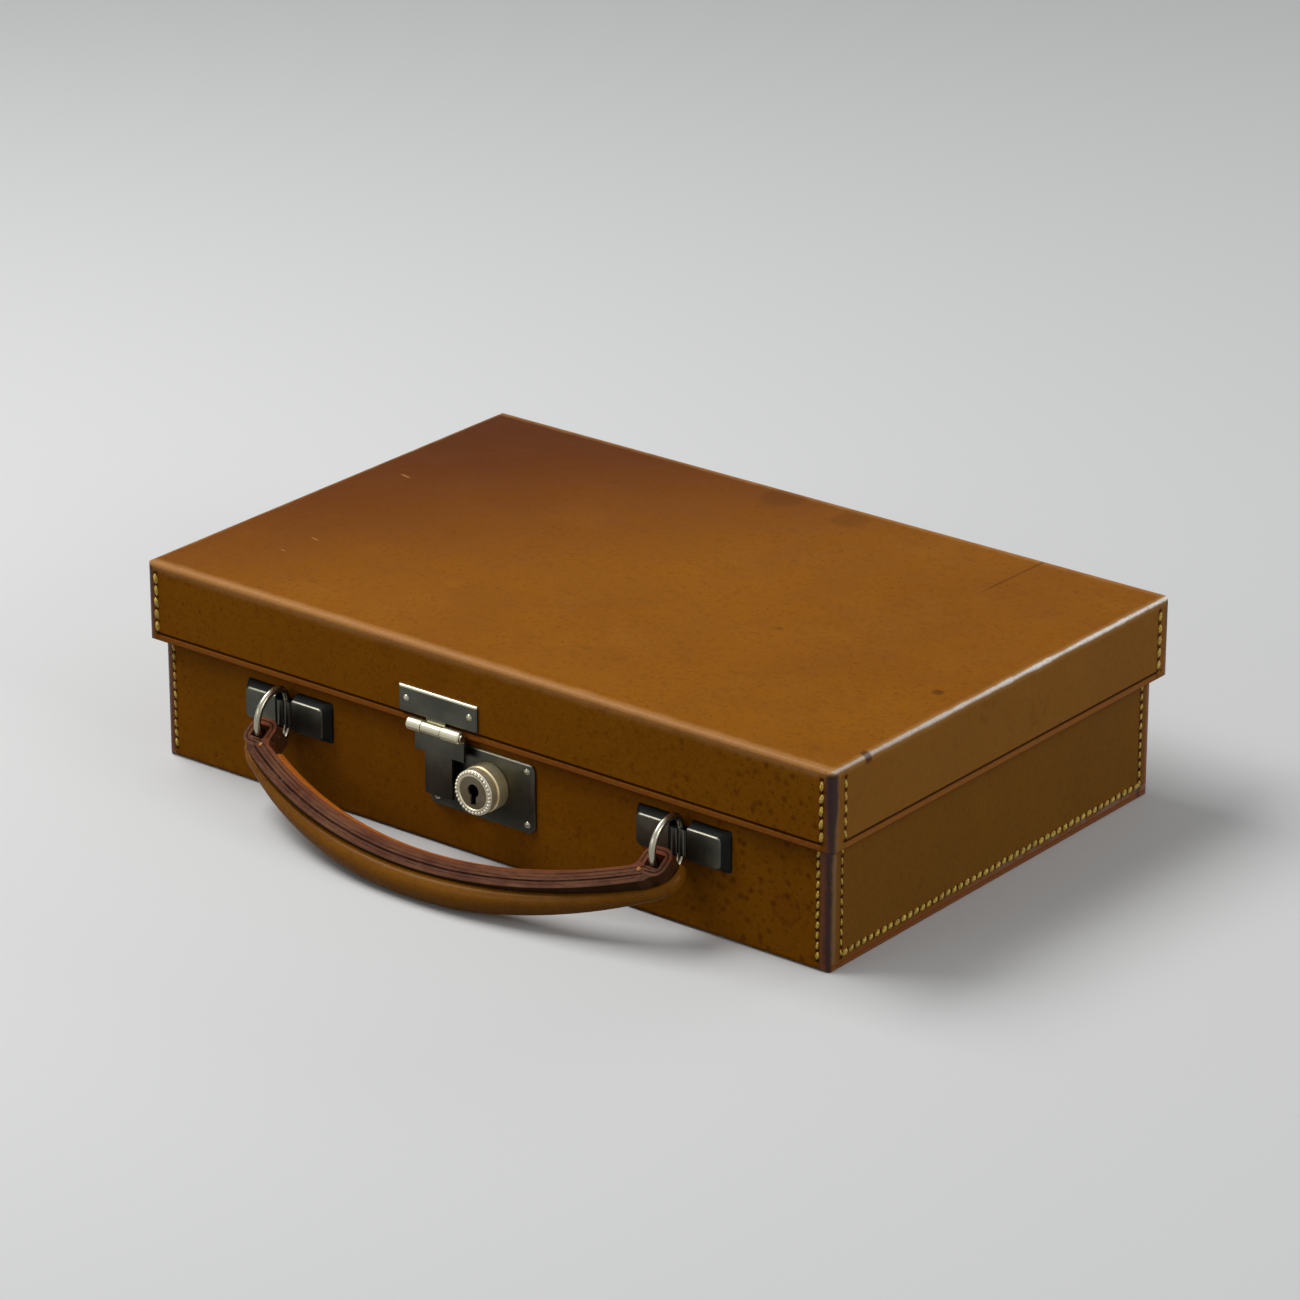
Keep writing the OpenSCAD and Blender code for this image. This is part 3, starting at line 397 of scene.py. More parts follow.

# Burnished edges: dark up the corners and along the foot, and almost black at the very edge.
# Painted shade darkens the top, under the lid's rim.
far = from_end.larger(from_front)
low = from_end.larger(base_hide.z)
ragged = base_hide.place.noise(0.006, 3, 0.6, 29) * 0.0012
column = (far + ragged).rise(0.0056, 0.0042)
strip = (low + ragged).rise(0.0050, 0.0036)
burnish = column.larger(strip)
base_hide.dye(column * (1 - on_end) * 0.8, hide_corner)
base_hide.dye(column * on_end * 0.65, to_back.paint(shade(138, 104, 66), end_back))
base_hide.dye(strip * 0.75, shade(138, 70, 14))
base_hide.dye((far + ragged * 1.5).rise(0.0038, 0.0022) * 0.92, shade(44, 20, 18))
# Painted shade: darker along the top, under the lid's rim.
base_hide.dye(base_hide.z.rise(0.047, 0.053) * 0.5, shade(84, 42, 10))
base_hide.roughness = base_hide.roughness - burnish * 0.14
base_hide.coat(burnish * 0.5)

# Holes of the seams, the trough that the back seams of the ends lie in, and a painted sheen along the
# ends' foot.
beside = (from_end - seam_in) * on_front + (from_front - end_seam_in) * (1 - on_front)
seam_pitch = (base_seam_top - base_seam_foot) / base_stitches
base_hide.dye(awl_holes(base_hide.z - base_seam_foot, seam_pitch, beside), hide_burnt)
trough = (from_front - end_seam_in).size().rise(0.0016, 0.0007)
base_hide.dye(trough * on_end * to_back * 0.6, hide_burnt)
# Painted sheen: a pale purple-grey gleam on the ends' foot strip, towards the back.
foot_sheen = base_hide.z.rise(0.0058, 0.0050) * base_hide.z.rise(0.0026, 0.0036) * on_end * to_back
foot_sheen = foot_sheen * base_hide.place.noise(0.008, 4, 0.7, 83).rise(0.4, 0.6)
base_hide.dye(foot_sheen * 0.5, shade(156, 132, 124))
foot_pitch = 2 * foot_seam_end / foot_stitches
foot_holes = awl_holes(base_hide.y - foot_seam_end, foot_pitch, base_hide.z - foot_seam_z)
foot_reach = base_hide.y.size().rise(foot_seam_end + 0.0012, foot_seam_end + 0.0006)
base_hide.dye(foot_holes * on_end * foot_reach, hide_burnt)
base_hide_finish = base_hide.done()
joined("base_skin", "base_wrap", "case_base", "leather", base_hide_finish)
joined("base_left_panel", "base_left_end", "case_base", "leather", base_hide_finish)
joined("base_right_panel", "base_right_end", "case_base", "leather", base_hide_finish)

# Boards and lining of the base: stiff wood-pulp board behind the leather, papered inside
# with dark brown skiver, a thin split sheepskin, glued down and turned at the rim.
def plain_board():
    board = Finish("grey board", 0.85)
    fibres = board.place.noise(0.0012, 3, 0.7, 3, (1, 3, 1))
    board.colour = fibres.rise(0.3, 0.7).paint(shade(150, 124, 88), shade(176, 150, 112))
    board.height = fibres
    return board.done()


def skiver():
    thin = Finish("skiver", 0.55, coat=0.05)
    crossed = thin.place.cells(0.0011, 5) * 0.6 + thin.place.noise(0.0016, 3, 0.6, 9) * 0.7
    clouds = thin.place.noise(0.05, 4, 0.6, 2)
    thin.colour = clouds.rise(0.3, 0.7).paint(shade(96, 34, 22), shade(122, 48, 30))
    thin.dye(crossed.rise(0.35, 0.75) * 0.35, shade(66, 20, 14))
    thin.roughness = 0.5 + clouds * 0.15
    thin.height = crossed
    thin.depth = 0.00025
    return thin.done()


board_finish = plain_board()
skiver_finish = skiver()
joined("base_boards", "base_board", "case_base", "board", board_finish, 0.0002)
joined("base_inside", "base_lining", "case_base", "lining", skiver_finish, 0.0001)

# Lid: one skin wetted and folded over all four top edges of a shallow box of board, sewn
# only up the corners. A hot creaser has run a line just above its rim.
lid_low, lid_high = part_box("lid_cover")
crease_z = lid_low.z + 0.0034
lid_stitches = 5
lid_seam_foot = 0.0570
lid_seam_top = 0.0835
lid_hide = tan_hide("lid hide")
from_end = lid_high.x - lid_hide.x.size()
from_front = lid_high.y - lid_hide.y.size()
below_top = lid_high.z - lid_hide.z
on_top = below_top.rise(0.003, 0.001)
on_end = from_end.rise(0.0016, 0.0008) * below_top.rise(0.001, 0.002)
on_front = from_front.rise(0.0012, 0.0004)
to_back = lid_hide.y.rise(-0.08, 0.08)
to_right = lid_hide.x.rise(0.0, 0.17)
# Darker towards the far left corner of the top, darkest right at it.
toward_far_left = (lid_hide.y * 2.6 - lid_hide.x * 3.2 + lid_hide.clouds * 0.35) * below_top.rise(0.012, 0.002)
lid_hide.dye(toward_far_left.rise(0.12, 0.82) * 0.9, shade(92, 43, 1))
lid_hide.dye(toward_far_left.rise(0.65, 1.05) * 0.4, hide_burnt)
# Painted light: the end faces get a greyer, more olive tint for the cooler light that falls on them from
# the right.
lid_hide.dye(on_end * 0.42, shade(156, 112, 56))
smudge = lid_hide.place.noise(0.016, 4, 0.6, 81, (1, 1.6, 1)).rise(0.58, 0.74)
lid_hide.dye(smudge * 0.22, shade(96, 46, 10))
freckles = freckled(lid_hide) * (to_right * 0.8 + 0.2) * below_top.rise(0.001, 0.004)
lid_hide.dye(freckles * (1 - on_end * 0.85) * 0.55, hide_freckle)

# The folds are worn pale and carry painted highlights, most of all the ones at the ends.
front_fold = from_front.larger(below_top)
end_fold = from_end.larger(below_top)
rubbed = lid_hide.place.noise(0.012, 4, 0.65, 31)
streaks = lid_hide.place.noise(0.0011, 3, 0.7, 37)
# Front fold: worn pale, with a painted sheen over the wear.
front_wear_and_sheen = (front_fold + rubbed * 0.003 - 0.0015).rise(0.0058, 0.001) * (0.34 + streaks * 0.4)
lid_hide.dye(front_wear_and_sheen, shade(196, 142, 84))
# Painted highlight: a soft tan halo round the line along the ends' folds, over their wear.
lid_hide.dye((end_fold + rubbed * 0.002 - 0.001).rise(0.0040, 0.0012) * 0.45, shade(190, 142, 86))
# Painted highlight: a near-white line along the ends' folds, over their wear, brightest towards the
# back.
end_wear_and_highlight = (end_fold + rubbed * 0.0014 - 0.0007).rise(0.0019, 0.0008)
end_wear_and_highlight = end_wear_and_highlight * (streaks.rise(0.25, 0.6) * 0.35 + 0.6)
end_wear_and_highlight = end_wear_and_highlight * (0.55 + lid_hide.y.rise(-0.11, 0.06) * 0.45)
lid_hide.dye(end_wear_and_highlight, shade(255, 250, 240))

# Burnished corners, almost black at the very edge, and a nick in the fold at the near corner.
far = from_end.larger(from_front)
ragged = lid_hide.place.noise(0.006, 3, 0.6, 29) * 0.0012
column = (far + ragged).rise(0.0050, 0.0036) * below_top.rise(0.0016, 0.0044)
lid_hide.dye(column * (1 - on_end) * 0.8, hide_corner)
lid_hide.dye(column * on_end * 0.6, to_back.paint(shade(132, 92, 52), end_back))
corner_edge = far + ragged * 1.5 + lid_hide.z.rise(0.08, 0.055) * 0.0012
corner_edge = corner_edge.rise(0.0054, 0.0032) * below_top.rise(0.0008, 0.0030)
lid_hide.dye(corner_edge * 0.92, shade(40, 20, 22))
nick_y = -0.0932
nick = ((lid_hide.y - nick_y).size() + rubbed * 0.003).rise(0.0042, 0.0024)
nick = nick * end_fold.rise(0.0042, 0.0026) * lid_hide.x.rise(0, 0.1)
lid_hide.dye(nick * 0.7, hide_burnt)

# The creased line, the paler bead below it and the dark cut edge of the rim.
line = (lid_hide.z - crease_z).size().rise(0.0008, 0.0003)
upright = below_top.rise(0.004, 0.006) * (far - on_end * 0.0022).rise(0.0058, 0.0064)
lid_hide.dye(line * upright * 0.9, hide_burnt)
lid_hide.dye((crease_z - lid_hide.z).rise(0.0004, 0.0012) * upright * 0.4, shade(168, 96, 48))
lid_hide.dye((lid_hide.z - lid_low.z).rise(0.0009, 0.0003) * 0.7, hide_burnt)

# Holes of the corner seams, and the trough that the back seams of the ends lie in.
beside = (from_end - seam_in) * on_front + (from_front - end_seam_in) * (1 - on_front)
seam_pitch = (lid_seam_top - lid_seam_foot) / lid_stitches
trough = (from_front - end_seam_in).size().rise(0.0018, 0.0008)
lid_hide.dye(trough * on_end * to_back * upright * 0.6, hide_burnt)
holes = awl_holes(lid_hide.z - lid_seam_foot, seam_pitch, beside)
lid_hide.dye(holes * lid_hide.z.rise(0.0865, 0.0855), hide_burnt)

# Dried drops on the top, a line scored across its right end, and short pale nicks.
for x, y, radius, strength in ((0.163, -0.0273, 0.003, 0.5), (0.0743, -0.0126, 0.0022, 0.3),
                               (-0.0135, 0.106, 0.012, 0.22), (0.024, 0.103, 0.010, 0.18)):
    gap = (lid_hide.x - x).apart(lid_hide.y - y) + rubbed * 0.004 - 0.002
    lid_hide.dye(gap.rise(radius, radius * 0.6) * strength * lid_hide.z.rise(0.083, 0.086), hide_burnt)
scored_x = 0.1139
scored_slope = 0.02
scored = (lid_hide.x - scored_x - lid_hide.y * scored_slope).size().rise(0.0008, 0.0003)
scored = scored * lid_hide.y.rise(0.068, 0.078) * lid_hide.y.rise(0.1155, 0.1125) * on_top
lid_hide.dye(scored * 0.5, hide_burnt)
for x, y, length in ((-0.1387, -0.0542, 0.0030), (-0.1405, -0.0720, 0.0022), (-0.1578, 0.0263, 0.0040)):
    across = (lid_hide.y - y + (lid_hide.x - x) * 0.2) * 5
    pale_nick = across.apart(lid_hide.x - x).rise(length, length * 0.5) * on_top
    lid_hide.dye(pale_nick * 0.5, shade(198, 140, 80))
lid_hide.roughness = lid_hide.roughness - column * 0.14 + front_wear_and_sheen.larger(end_wear_and_highlight) * 0.1
lid_hide.coat(column * 0.5 + end_wear_and_highlight + front_wear_and_sheen * 0.2)
lid_hide.height = lid_hide.height - line * upright * 0.6
joined("lid_skin", "lid_cover", "lid", "leather", lid_hide.done())
joined("lid_boards", "lid_board", "lid", "board", board_finish, 0.0002)
joined("lid_inside", "lid_lining", "lid", "lining", skiver_finish, 0.0001)

# Letter pocket and pen loops inside the lid, of the lining's leather but thicker, sewn
# along their edges.
joined("pocket_panel", "letter_pocket", "lid", "lining", skiver_finish, 0.0003)
joined("pen_loop_pair", "pen_loops", "lid", "lining", skiver_finish, 0.0003)


# Saddle stitches: waxed linen thread, now golden. Each stitch lies slanted and dips into
# awl holes: up each corner on both faces, and along both ends' feet.
def thread():
    linen = Finish("linen thread", 0.45, sheen=0.1)
    twist = linen.place.noise(0.0006, 2, 0.6, 41)
    age = linen.place.noise(0.012, 3, 0.6, 43)
    linen.colour = twist.rise(0.35, 0.65).paint(shade(164, 124, 8), shade(246, 214, 96))
    linen.dye(age.rise(0.45, 0.7) * 0.45, shade(132, 88, 22))
    linen.height = twist
    return linen.done()


def stitch_row(bm, first, last, count, out, slant, length, width, height):
    """Stitches from one point of a face to another, slanted by hand. The face looks along out."""
    first, last, out = Vector(first), Vector(last), Vector(out)
    along = (last - first).normalized()
    across = out.cross(along)
    basis = Matrix((along, across, out)).transposed().to_4x4()
    for number in range(count):
        place = first.lerp(last, (number + 0.5) / count)
        place += across * random.uniform(-0.00015, 0.00015)
        turn = Matrix.Rotation(math.radians(slant + random.uniform(-7, 7)), 4, "Z")
        size = Matrix.Diagonal((length * random.uniform(0.44, 0.5), width * random.uniform(0.42, 0.56),
                                height * random.uniform(0.8, 1.2), 1))
        bmesh.ops.create_uvsphere(bm, u_segments=8, v_segments=6, radius=1,
                                  matrix=Matrix.Translation(place) @ basis @ turn @ size)


def sewn(name, rows, body):
    """One piece of thread from rows of stitches."""
    mesh = bpy.data.meshes.new(name)
    bm = bmesh.new()
    for row in rows:
        stitch_row(bm, *row)
    for face in bm.faces:
        face.smooth = True
    bm.to_mesh(mesh)
    bm.free()
    mesh.materials.append(thread_finish)
    piece = bpy.data.objects.new(name, mesh)
    scene.collection.objects.link(piece)
    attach(piece, body)


def corner_rows(sx, sy, half_w, half_d, foot, top, count, front_stitch, end_stitch):
    """The rows beside one corner, on the front or back and then on the end."""
    front_at = (sx * (half_w - seam_in), sy * (half_d - sink))
    end_at = (sx * (half_w - sink), sy * (half_d - end_seam_in))
    return [((*at, foot), (*at, top), count, out, lean * sx * sy, *stitch)
            for at, out, lean, stitch in ((front_at, (0, sy, 0), corner_lean, front_stitch),
                                          (end_at, (sx, 0, 0), -corner_lean, end_stitch))]


thread_finish = thread()
sink = 0.0001
corner_lean = 12
foot_lean = 38
under_lean = 14
under_stitches = 50
base_rows = []
lid_rows = []
for sx in (-1, 1):
    for sy in (-1, 1):
        bold = 1.6 if sy > 0 else 1
        base_rows += corner_rows(sx, sy, base_half_w, base_half_d, base_seam_foot, base_seam_top,
                                 base_stitches, (0.0040, 0.0014, 0.0008),
                                 (0.0034, 0.0009 * bold, 0.0005 * bold))
        lid_rows += corner_rows(sx, sy, lid_high.x, lid_high.y, lid_seam_foot, lid_seam_top,
                                lid_stitches, (0.0050, 0.0020, 0.0010), (0.0044, 0.0014 * bold, 0.0008))
    end_x = sx * (base_half_w - sink)
    under_x = sx * (base_half_w - seam_in)
    base_rows.append(((end_x, -foot_seam_end, foot_seam_z), (end_x, foot_seam_end, foot_seam_z),
                      foot_stitches, (sx, 0, 0), foot_lean * sx, 0.0038, 0.0019, 0.0011))
    base_rows.append(((under_x, -foot_seam_end, sink), (under_x, foot_seam_end, sink),
                      under_stitches, (0, 0, -1), under_lean, 0.0040, 0.0012, 0.00008))
sewn("base_thread", base_rows, "case_base")
sewn("lid_thread", lid_rows, "lid")
pocket_low, pocket_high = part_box("letter_pocket")
hem = 0.003
left, right = pocket_low.x + hem, pocket_high.x - hem
near, foot = pocket_low.y + hem, pocket_high.y - hem
pocket_rows = [((left, near, pocket_low.z), (left, foot, pocket_low.z), 40),
               ((right, near, pocket_low.z), (right, foot, pocket_low.z), 40),
               ((left, foot, pocket_low.z), (right, foot, pocket_low.z), 66)]
pocket_rows = [(*row, (0, 0, -1), corner_lean, 0.0034, 0.0010, 0.0004) for row in pocket_rows]
sewn("pocket_thread", pocket_rows, "lid")

# Fittings of nickel silver, worn and dulled, the flat plates in a darker copy of the nickel as painted
# shade: lock plate and rivets, the nozzle with its beaded rim, the hasp and its pin, the handle plates
# and rings, hinges and stays.
def nickel(name, low, high, roughness, brassy=0, wear_and_light=None):
    """Plated metal, clouded and pitted. Brass shows through where it is brassy, and the last argument,
    if given, is the function that lays one fitting's wear, painted shade and painted highlights.
    """
    metal = Finish(name, roughness, metallic=1.0)
    clouds = metal.place.noise(0.012, 4, 0.6, 51)
    rubs = metal.place.noise(0.0016, 3, 0.6, 53, (1, 1, 0.15))
    pits = metal.place.noise(0.0009, 2, 0.5, 57).rise(0.68, 0.76)
    metal.colour = clouds.rise(0.3, 0.7).paint(low, high)
    if brassy:
        metal.dye(metal.place.noise(0.006, 4, 0.6, 59).rise(0.42, 0.66) * brassy, shade(204, 170, 108))
    metal.dye(pits * 0.4, shade(70, 62, 50))
    metal.roughness = roughness + clouds * 0.08 + rubs * 0.06 - 0.05
    if wear_and_light:
        wear_and_light(metal)
    metal.height = rubs * 0.4 + pits * -0.4 + clouds * 0.2
    metal.depth = 0.00002
    return metal.done()


hasp_pin_low, hasp_pin_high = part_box("hasp_pin")
barrel_y = (hasp_pin_low.y + hasp_pin_high.y) / 2
barrel_z = (hasp_pin_low.z + hasp_pin_high.z) / 2
barrel_radius = barrel_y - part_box("hasp_leaf")[0].y
hasp_plate_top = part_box("hasp_plate")[1].z
lock_plate_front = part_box("lock_plate")[0].y
lock_plate_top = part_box("lock_plate")[1].z


def plate_wear_and_highlights(metal):
    """Painted highlights in cream round the hasp's barrel and along the top rims of both plates, where
    hands also rub them bright.
    """
    barrel = (metal.z - barrel_z).apart(metal.y - barrel_y)
    barrel = barrel.rise(barrel_radius + 0.0003, barrel_radius + 0.0002)
    at_front = metal.y.rise(0, -0.05)
    hasp_rim = metal.z.rise(hasp_plate_top - 0.0013, hasp_plate_top - 0.0010) * at_front
    lock_rim = metal.z.rise(lock_plate_top - 0.0009, lock_plate_top - 0.0006)
    lock_rim = lock_rim * metal.y.rise(lock_plate_front - 0.0002, lock_plate_front)
    lock_rim = lock_rim * metal.z.rise(lock_plate_top + 0.0004, lock_plate_top + 0.0002) * at_front
    metal.dye(barrel.larger(hasp_rim).larger(lock_rim) * 0.95, shade(204, 199, 172))


mount_low, mount_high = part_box("handle_plate_left")
mount_rib = 0.0007
mount_slope = 0.0024
mount_front = mount_low.y + mount_rib
mount_top = mount_high.z - mount_slope


def mount_shade_and_highlight(metal):
    """Painted shade, dark behind the handle plates' front faces, and a painted highlight along those
    faces' tops.
    """
    shaded_depth = metal.y.rise(mount_front + 0.0003, mount_front + 0.0006)
    metal.dye(shaded_depth * 0.92, shade(26, 28, 28))
    metal.roughness = metal.roughness + shaded_depth * 0.2
    top_highlight = (metal.z - mount_top).size().rise(0.0006, 0.0003)
    top_highlight = top_highlight * metal.y.rise(mount_front + 0.00075, mount_front + 0.00035)
    metal.dye(top_highlight * 0.5, shade(160, 156, 140))


nozzle_low, nozzle_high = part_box("nozzle_cap")
nozzle_x = (nozzle_low.x + nozzle_high.x) / 2
nozzle_z = (nozzle_low.z + nozzle_high.z) / 2


def nozzle_shade_and_highlights(metal):
    """Painted shade, black inside the keyhole, a painted highlight on the beads, and the face between
    painted dull as a dark reflection.
    """
    from_axis = (metal.x - nozzle_x).apart(metal.z - nozzle_z)
    behind = metal.y - nozzle_low.y
    inside = from_axis.rise(0.0062, 0.0058) * behind.rise(0.0014, 0.0017)
    metal.dye(inside, shade(8, 7, 6))
    metal.roughness = metal.roughness + inside * 0.6
    metal.dye(from_axis.rise(0.0070, 0.0072) * behind.rise(0.0024, 0.0018), shade(216, 209, 188))
    metal.dye(from_axis.rise(0.0071, 0.0069) * (1 - inside) * 0.85, shade(84, 80, 68))


# Painted shade: the plates' nickel is a darker copy of the bright nickel, for the dark reflections of
# their flat faces.
plate_finish = nickel("plate nickel", shade(70, 71, 64), shade(86, 85, 75), 0.31, wear_and_light=plate_wear_and_highlights)
mount_finish = nickel("handle plate nickel", shade(68, 70, 64), shade(88, 86, 76), 0.32, wear_and_light=mount_shade_and_highlight)
bright_finish = nickel("bright nickel", shade(158, 153, 134), shade(178, 172, 153), 0.22)
nozzle_finish = nickel("nozzle nickel", shade(226, 212, 168), shade(240, 228, 192), 0.48, brassy=0.4,
                       wear_and_light=nozzle_shade_and_highlights)
steel_finish = nickel("blued steel", shade(88, 88, 92), shade(120, 120, 124), 0.4)
for name, node, body, finish, edge, *shape in (
        ("lock_front", "lock_plate", "case_base", plate_finish, 0, 0.0008),
        ("lock_studs", "lock_rivets", "case_base", bright_finish, 0),
        ("lock_box", "lock_case", "case_base", steel_finish, 0.0001),
        ("nozzle_body", "nozzle_boss", "nozzle", nozzle_finish, 0.0002),
        ("nozzle_front", "nozzle_cap", "nozzle", nozzle_finish, 0.00008),
        ("bolt", "lock_bolt", "nozzle", steel_finish, 0.0002),
        ("hasp_top", "hasp_plate", "lid", plate_finish, 0, 0.0011),
        ("hasp_studs", "hasp_plate_pins", "lid", bright_finish, 0),
        ("hasp_barrel_pin", "hasp_pin", "lid", bright_finish, 0.0002),
        ("hasp_front", "hasp_leaf", "hasp", plate_finish, 0.00025),
        ("hasp_hook", "hasp_catch", "hasp", steel_finish, 0.0003),
        ("left_handle_plate", "handle_plate_left", "case_base", mount_finish, 0.0004, 0, 0.0028),
        ("right_handle_plate", "handle_plate_right", "case_base", mount_finish, 0.0004, 0, 0.0028),
        ("left_wire_ring", "ring_left", "left_ring", bright_finish, 0),
        ("right_wire_ring", "ring_right", "right_ring", bright_finish, 0),
        ("base_hinge_leaves", "hinge_base_leaves", "case_base", plate_finish, 0.0002),
        ("lid_hinge_leaves", "hinge_lid_leaves", "lid", plate_finish, 0.0002),
        ("hinge_pin_pair", "hinge_pins", "case_base", bright_finish, 0),
        ("base_hinge_studs", "hinge_base_rivets", "case_base", bright_finish, 0),
        ("lid_hinge_studs", "hinge_lid_rivets", "lid", bright_finish, 0),
        ("stay_arcs", "lid_stays", "lid", plate_finish, 0.0002),
        ("stay_guides", "stay_keepers", "case_base", plate_finish, 0.0002)):
    joined(name, node, body, "nickel", finish, edge, *shape)

# Return spring of the nozzle: fine steel wire, wound and held in the lock case between its
# end and the bolt. Nothing shows it, so a plain bar fills its place.
spring_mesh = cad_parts["lock_spring"].data
spring_mesh.materials.clear()
spring_mesh.materials.append(steel_finish)

# Handle's plies: strips of hide glued face to face with burnished edges. Two of them loop
# round the rings, and the others fill the bow between the loops. In the handle's own frame
# x runs along it, y from the rings out to the bow and z down through the plies' width.
handle_from = Matrix.Translation((0, -0.11975, 0.0384)) @ Matrix.Rotation(math.radians(214.908), 4, "X")
bow_radius = 0.215
bow_middle = -0.1685
eye_at = (0.1029, 0.0104)
loop_half = 0.0069
loop_corner = 0.0053
loop_glue = 0.0017


def ply_edges():
    """Stained and burnished edges, with a dark glue line at each ply's depth in the bow and loops, and
    painted shadow on the outer ply's face beside the roll.
    """
    edge = Finish("burnished plies", 0.55)
    edge.shader.inputs["Specular IOR Level"].default_value = 0.03
    to_own = handle_from.inverted()
    out = edge.x * 0 + to_own[1][3]
    for axis, part in enumerate((edge.x, edge.y, edge.z)):
        out = out + part * to_own[1][axis]
    side = edge.x.size()
    depth = bow_radius - edge.x.apart(out - bow_middle)
    off_x, off_y = [((part - at).size() - (loop_half - loop_corner)).larger(0)
                    for part, at in ((side, eye_at[0]), (out, eye_at[1]))]
    loop_depth = loop_corner - off_x.apart(off_y)
    in_loop = side.rise(0.1008, 0.1016).larger(out.rise(0.0128, 0.0120)) * side.rise(0.0940, 0.0950)
    to_ends = side.rise(0.05, 0.085)
    streak = edge.place.noise(0.0016, 4, 0.65, 61, (0.1, 1, 1))
    clouds = edge.place.noise(0.012, 4, 0.6, 63)
    edge.colour = clouds.rise(0.3, 0.7).paint(shade(88, 52, 37), shade(112, 74, 52))
    edge.dye(depth.rise(0.0055, 0.0080) * 0.5, shade(124, 64, 32))
    edge.dye(streak.rise(0.45, 0.7) * 0.45, shade(72, 34, 26))
    wave = edge.place.noise(0.02, 3, 0.6, 65) * 0.0006 - 0.0003
    broken = edge.place.noise(0.006, 3, 0.6, 69).rise(0.35, 0.6)
    groove = (loop_depth - loop_glue).size().rise(0.0004, 0.0001) * in_loop * 0.8
    for at, width, strength in ((0.0019, 0.00035, broken * 0.35), (0.0034, 0.0006, broken * 0.3 + 0.7),
                                (0.0052, 0.0003, broken * 0.3),
                                (0.0068, 0.00035, to_ends * 0.5 + broken * 0.2)):
        line = (depth + wave - at).size().rise(width, width * 0.3)
        groove = groove.larger(line * strength * (1 - in_loop))
    edge.dye(groove * 0.9, shade(30, 16, 14))
    # Painted shadow: the outer ply's outer face is dark where the roll meets it.
    under = depth.rise(0.0004, 0.0001) * (1 - in_loop) + loop_depth.rise(0.0003, 0.0001) * in_loop * 0.6
    edge.dye(under * 0.8, shade(44, 32, 14))
    chipped = edge.place.noise(0.0017, 3, 0.7, 67).rise(0.66, 0.7) * edge.x.rise(-0.055, -0.085)
    edge.dye(chipped * 0.6, shade(150, 136, 132))
    edge.roughness = edge.roughness - chipped * 0.25 + groove * 0.2
    edge.height = streak * 0.4 + clouds * 0.4 - groove * 1.5
    edge.depth = 0.0003
    return edge.done()


ply_finish = ply_edges()
joined("outer_ply", "handle_outer_ply", "handle", "leather_edge", ply_finish, 0.0004)
joined("inner_ply", "handle_inner_ply", "handle", "leather_edge", ply_finish, 0.0003)
joined("core_plies", "handle_core", "handle", "leather_edge", ply_finish, 0.0003)

# Packing of hide that closes the space between the loops and the core beside each eye, and
# the end of the waxed thread that holds it.
packing_outline = ((95.5, 16.5), (96, 20), (100, 19.4), (104, 18), (106, 16), (105.5, 14.4),
                   (99.4, 14.3), (97.4, 14.4))
packing_top = -0.0033
packing_depth = 0.0106


def own_shape(name, bm, finish, mirrored=True):
    """A piece of the handle from a shape in the handle's own frame, at both ends."""
    if mirrored:
        bmesh.ops.mirror(bm, geom=bm.verts[:] + bm.edges[:] + bm.faces[:], axis="X")
    bmesh.ops.transform(bm, matrix=handle_from, verts=bm.verts)
    bmesh.ops.recalc_face_normals(bm, faces=bm.faces)
    for face in bm.faces:
        face.smooth = True
    mesh = bpy.data.meshes.new(name)
    bm.to_mesh(mesh)
    bm.free()
    mesh.materials.append(finish)
    piece = bpy.data.objects.new(name, mesh)
    scene.collection.objects.link(piece)
    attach(piece, "handle")
    return piece


bm = bmesh.new()
outline = [bm.verts.new((x / 1000, y / 1000, packing_top)) for x, y in packing_outline]
lower = bmesh.ops.extrude_face_region(bm, geom=[bm.faces.new(outline)])["geom"]
moved = [part for part in lower if isinstance(part, bmesh.types.BMVert)]
bmesh.ops.translate(bm, verts=moved, vec=(0, 0, packing_depth))
packing = own_shape("eye_packing", bm, ply_finish)
for polygon in packing.data.polygons:
    polygon.use_smooth = False
bm = bmesh.new()
knot_at = Matrix.Translation((0.0986, 0.0158, -0.0034))
knot_size = Matrix.Diagonal((0.0010, 0.0012, 0.0006, 1))
bmesh.ops.create_uvsphere(bm, u_segments=10, v_segments=6, radius=1, matrix=knot_at @ knot_size)
wax = Finish("waxed knot", 0.5)
twist = wax.place.noise(0.0006, 2, 0.6, 47)
wax.colour = twist.rise(0.3, 0.7).paint(shade(124, 66, 12), shade(186, 118, 26))
own_shape("eye_thread", bm, wax.done())

# Padded roll: a tube of thin hide stuffed firmly and sewn along the outside of the plies. It
# is fullest in the middle, and its flattened ends run on round the loops as tongues. Its
# sizes are in millimetres here, each as in the middle and then at the ends.
bow_sweep = 0.489
bow_steps = 60
roll_path = [(bow_radius * 1000 * math.sin(turn), bow_middle * 1000 + bow_radius * 1000 * math.cos(turn))
             for turn in (bow_sweep * step / bow_steps for step in range(bow_steps + 1))]
roll_path += [(102.6, 20.6), (104.3, 19.45), (105.9, 18.2), (107.4, 16.6), (108.8, 15.0), (109.65, 13.4),
              (110.0, 11.8), (110.05, 10.2), (109.95, 8.6), (109.6, 7.2), (109.0, 5.9), (108.1, 4.8)]
roll_girth = 24
roll_full = (7.7, 3.0)
roll_half = (6.8, 3.4)
roll_centre = (4.9, 5.4)
roll_lap = 0.03
taper_start = 20
taper_run = 85
tongue_end = 7
along = [0.0]
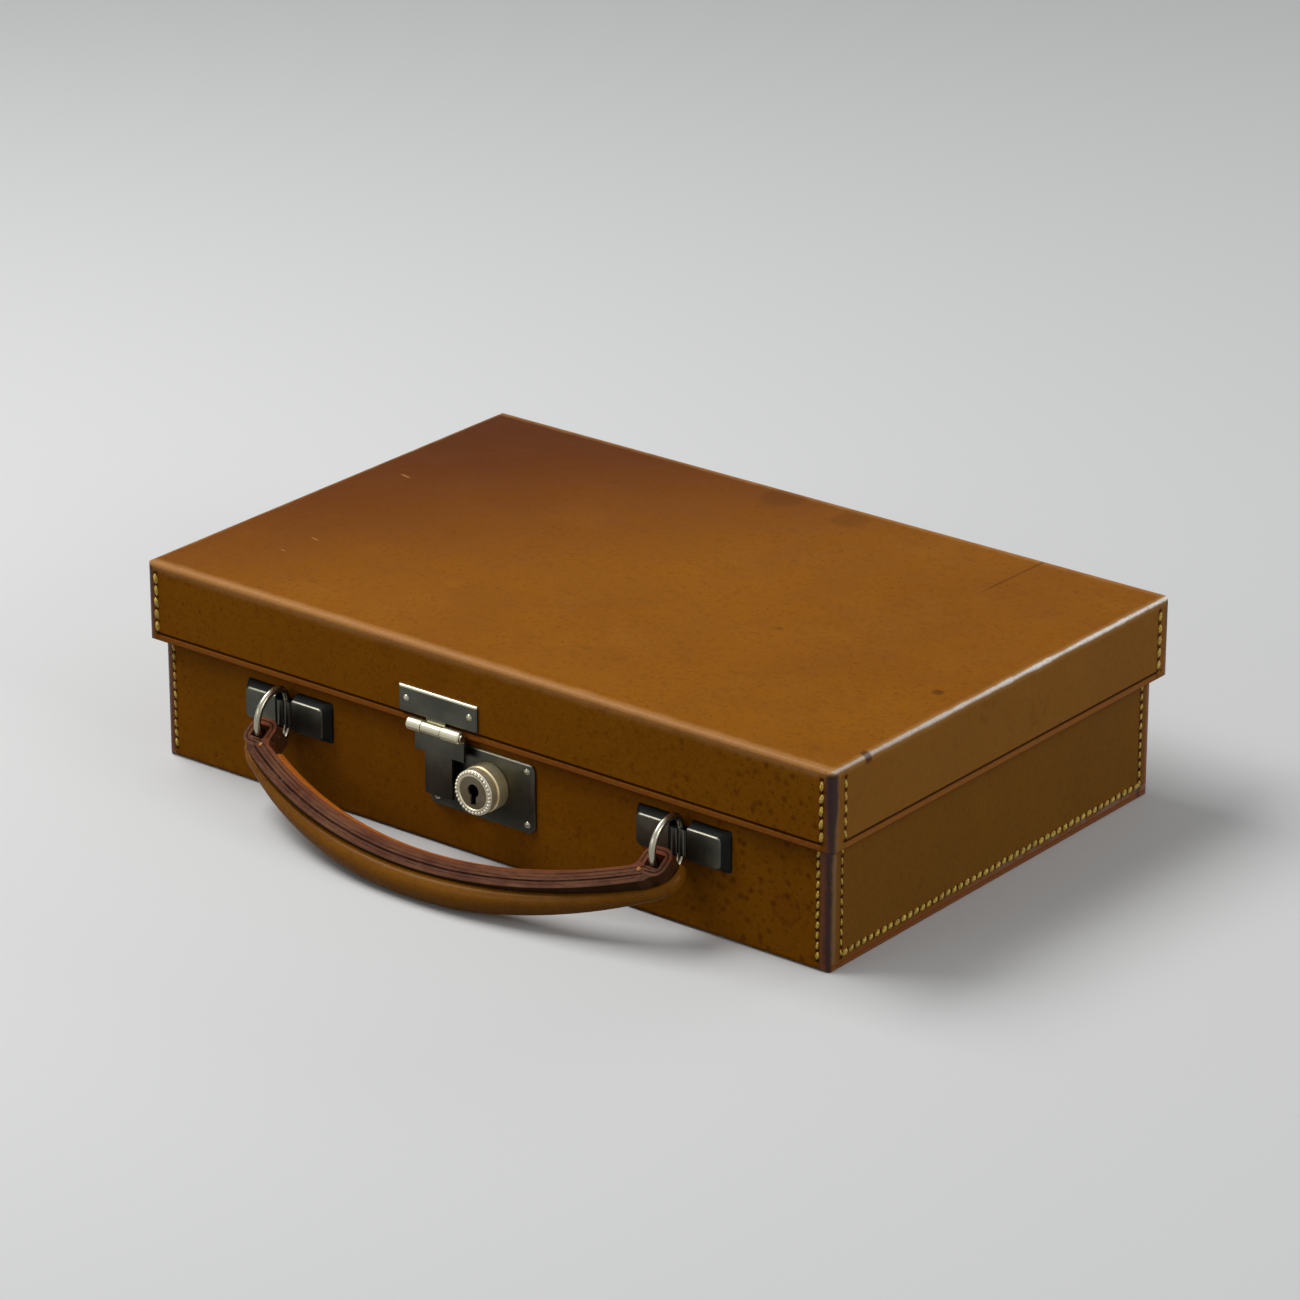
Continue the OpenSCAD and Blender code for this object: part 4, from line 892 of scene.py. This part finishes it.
for near, past in zip(roll_path, roll_path[1:]):
    along.append(along[-1] + math.dist(near, past))
bm = bmesh.new()
bmesh.ops.create_grid(bm, x_segments=len(roll_path) - 1, y_segments=roll_girth, size=1)
for vert in bm.verts:
    step = round((vert.co.x + 1) / 2 * (len(roll_path) - 1))
    turn = (vert.co.y + 1) / 2 * 2 * math.pi
    here = Vector(roll_path[step])
    ahead = Vector(roll_path[min(step + 1, len(roll_path) - 1)]) - Vector(roll_path[max(step - 1, 0)])
    if step == 0:
        ahead = Vector((1, 0))
    outward = Vector((-ahead.y, ahead.x)).normalized()
    way = along[step]
    thin = min(1, max(0, (way - taper_start) / taper_run)) ** 1.3
    full, half, centre = [middle + (end - middle) * thin
                          for middle, end in (roll_full, roll_half, roll_centre)]
    last = max(0, (way - along[-1] + tongue_end) / tongue_end)
    tip = math.sqrt(max(0, 1 - last * last))
    bulge = max(0, math.cos(turn)) ** 0.8 * full * tip + roll_lap
    place = here + outward * bulge
    width = half * (0.35 + 0.65 * tip)
    vert.co = Vector((place.x, place.y, centre + width * math.sin(turn))) / 1000
bmesh.ops.remove_doubles(bm, verts=bm.verts, dist=1e-6)
tip_edges = [side for side in bm.edges
             if side.is_boundary and all(vert.co.x > eye_at[0] for vert in side.verts)]
bmesh.ops.holes_fill(bm, edges=tip_edges, sides=0)
bmesh.ops.mirror(bm, geom=bm.verts[:] + bm.edges[:] + bm.faces[:], axis="X", merge_dist=1e-5)
roll_hide = tan_hide("roll hide", shade(158, 108, 30), shade(132, 82, 12), shade(98, 56, 8))
roll_hide.shader.inputs["Coat Weight"].default_value = 0.12
roll_finish = roll_hide.done()
grip_roll = own_shape("grip_roll", bm, roll_finish, mirrored=False)
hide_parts("handle_roll")

# Facing of soft hide in a lighter tan, padded and rounded. It is glued along the inside of
# the bow, where the fingers close round it.
facing_hide = tan_hide("facing hide", shade(200, 124, 50), shade(184, 104, 34), shade(146, 76, 20))
joined("hand_facing", "handle_lining", "handle", "leather", facing_hide.done(), 0.0004)
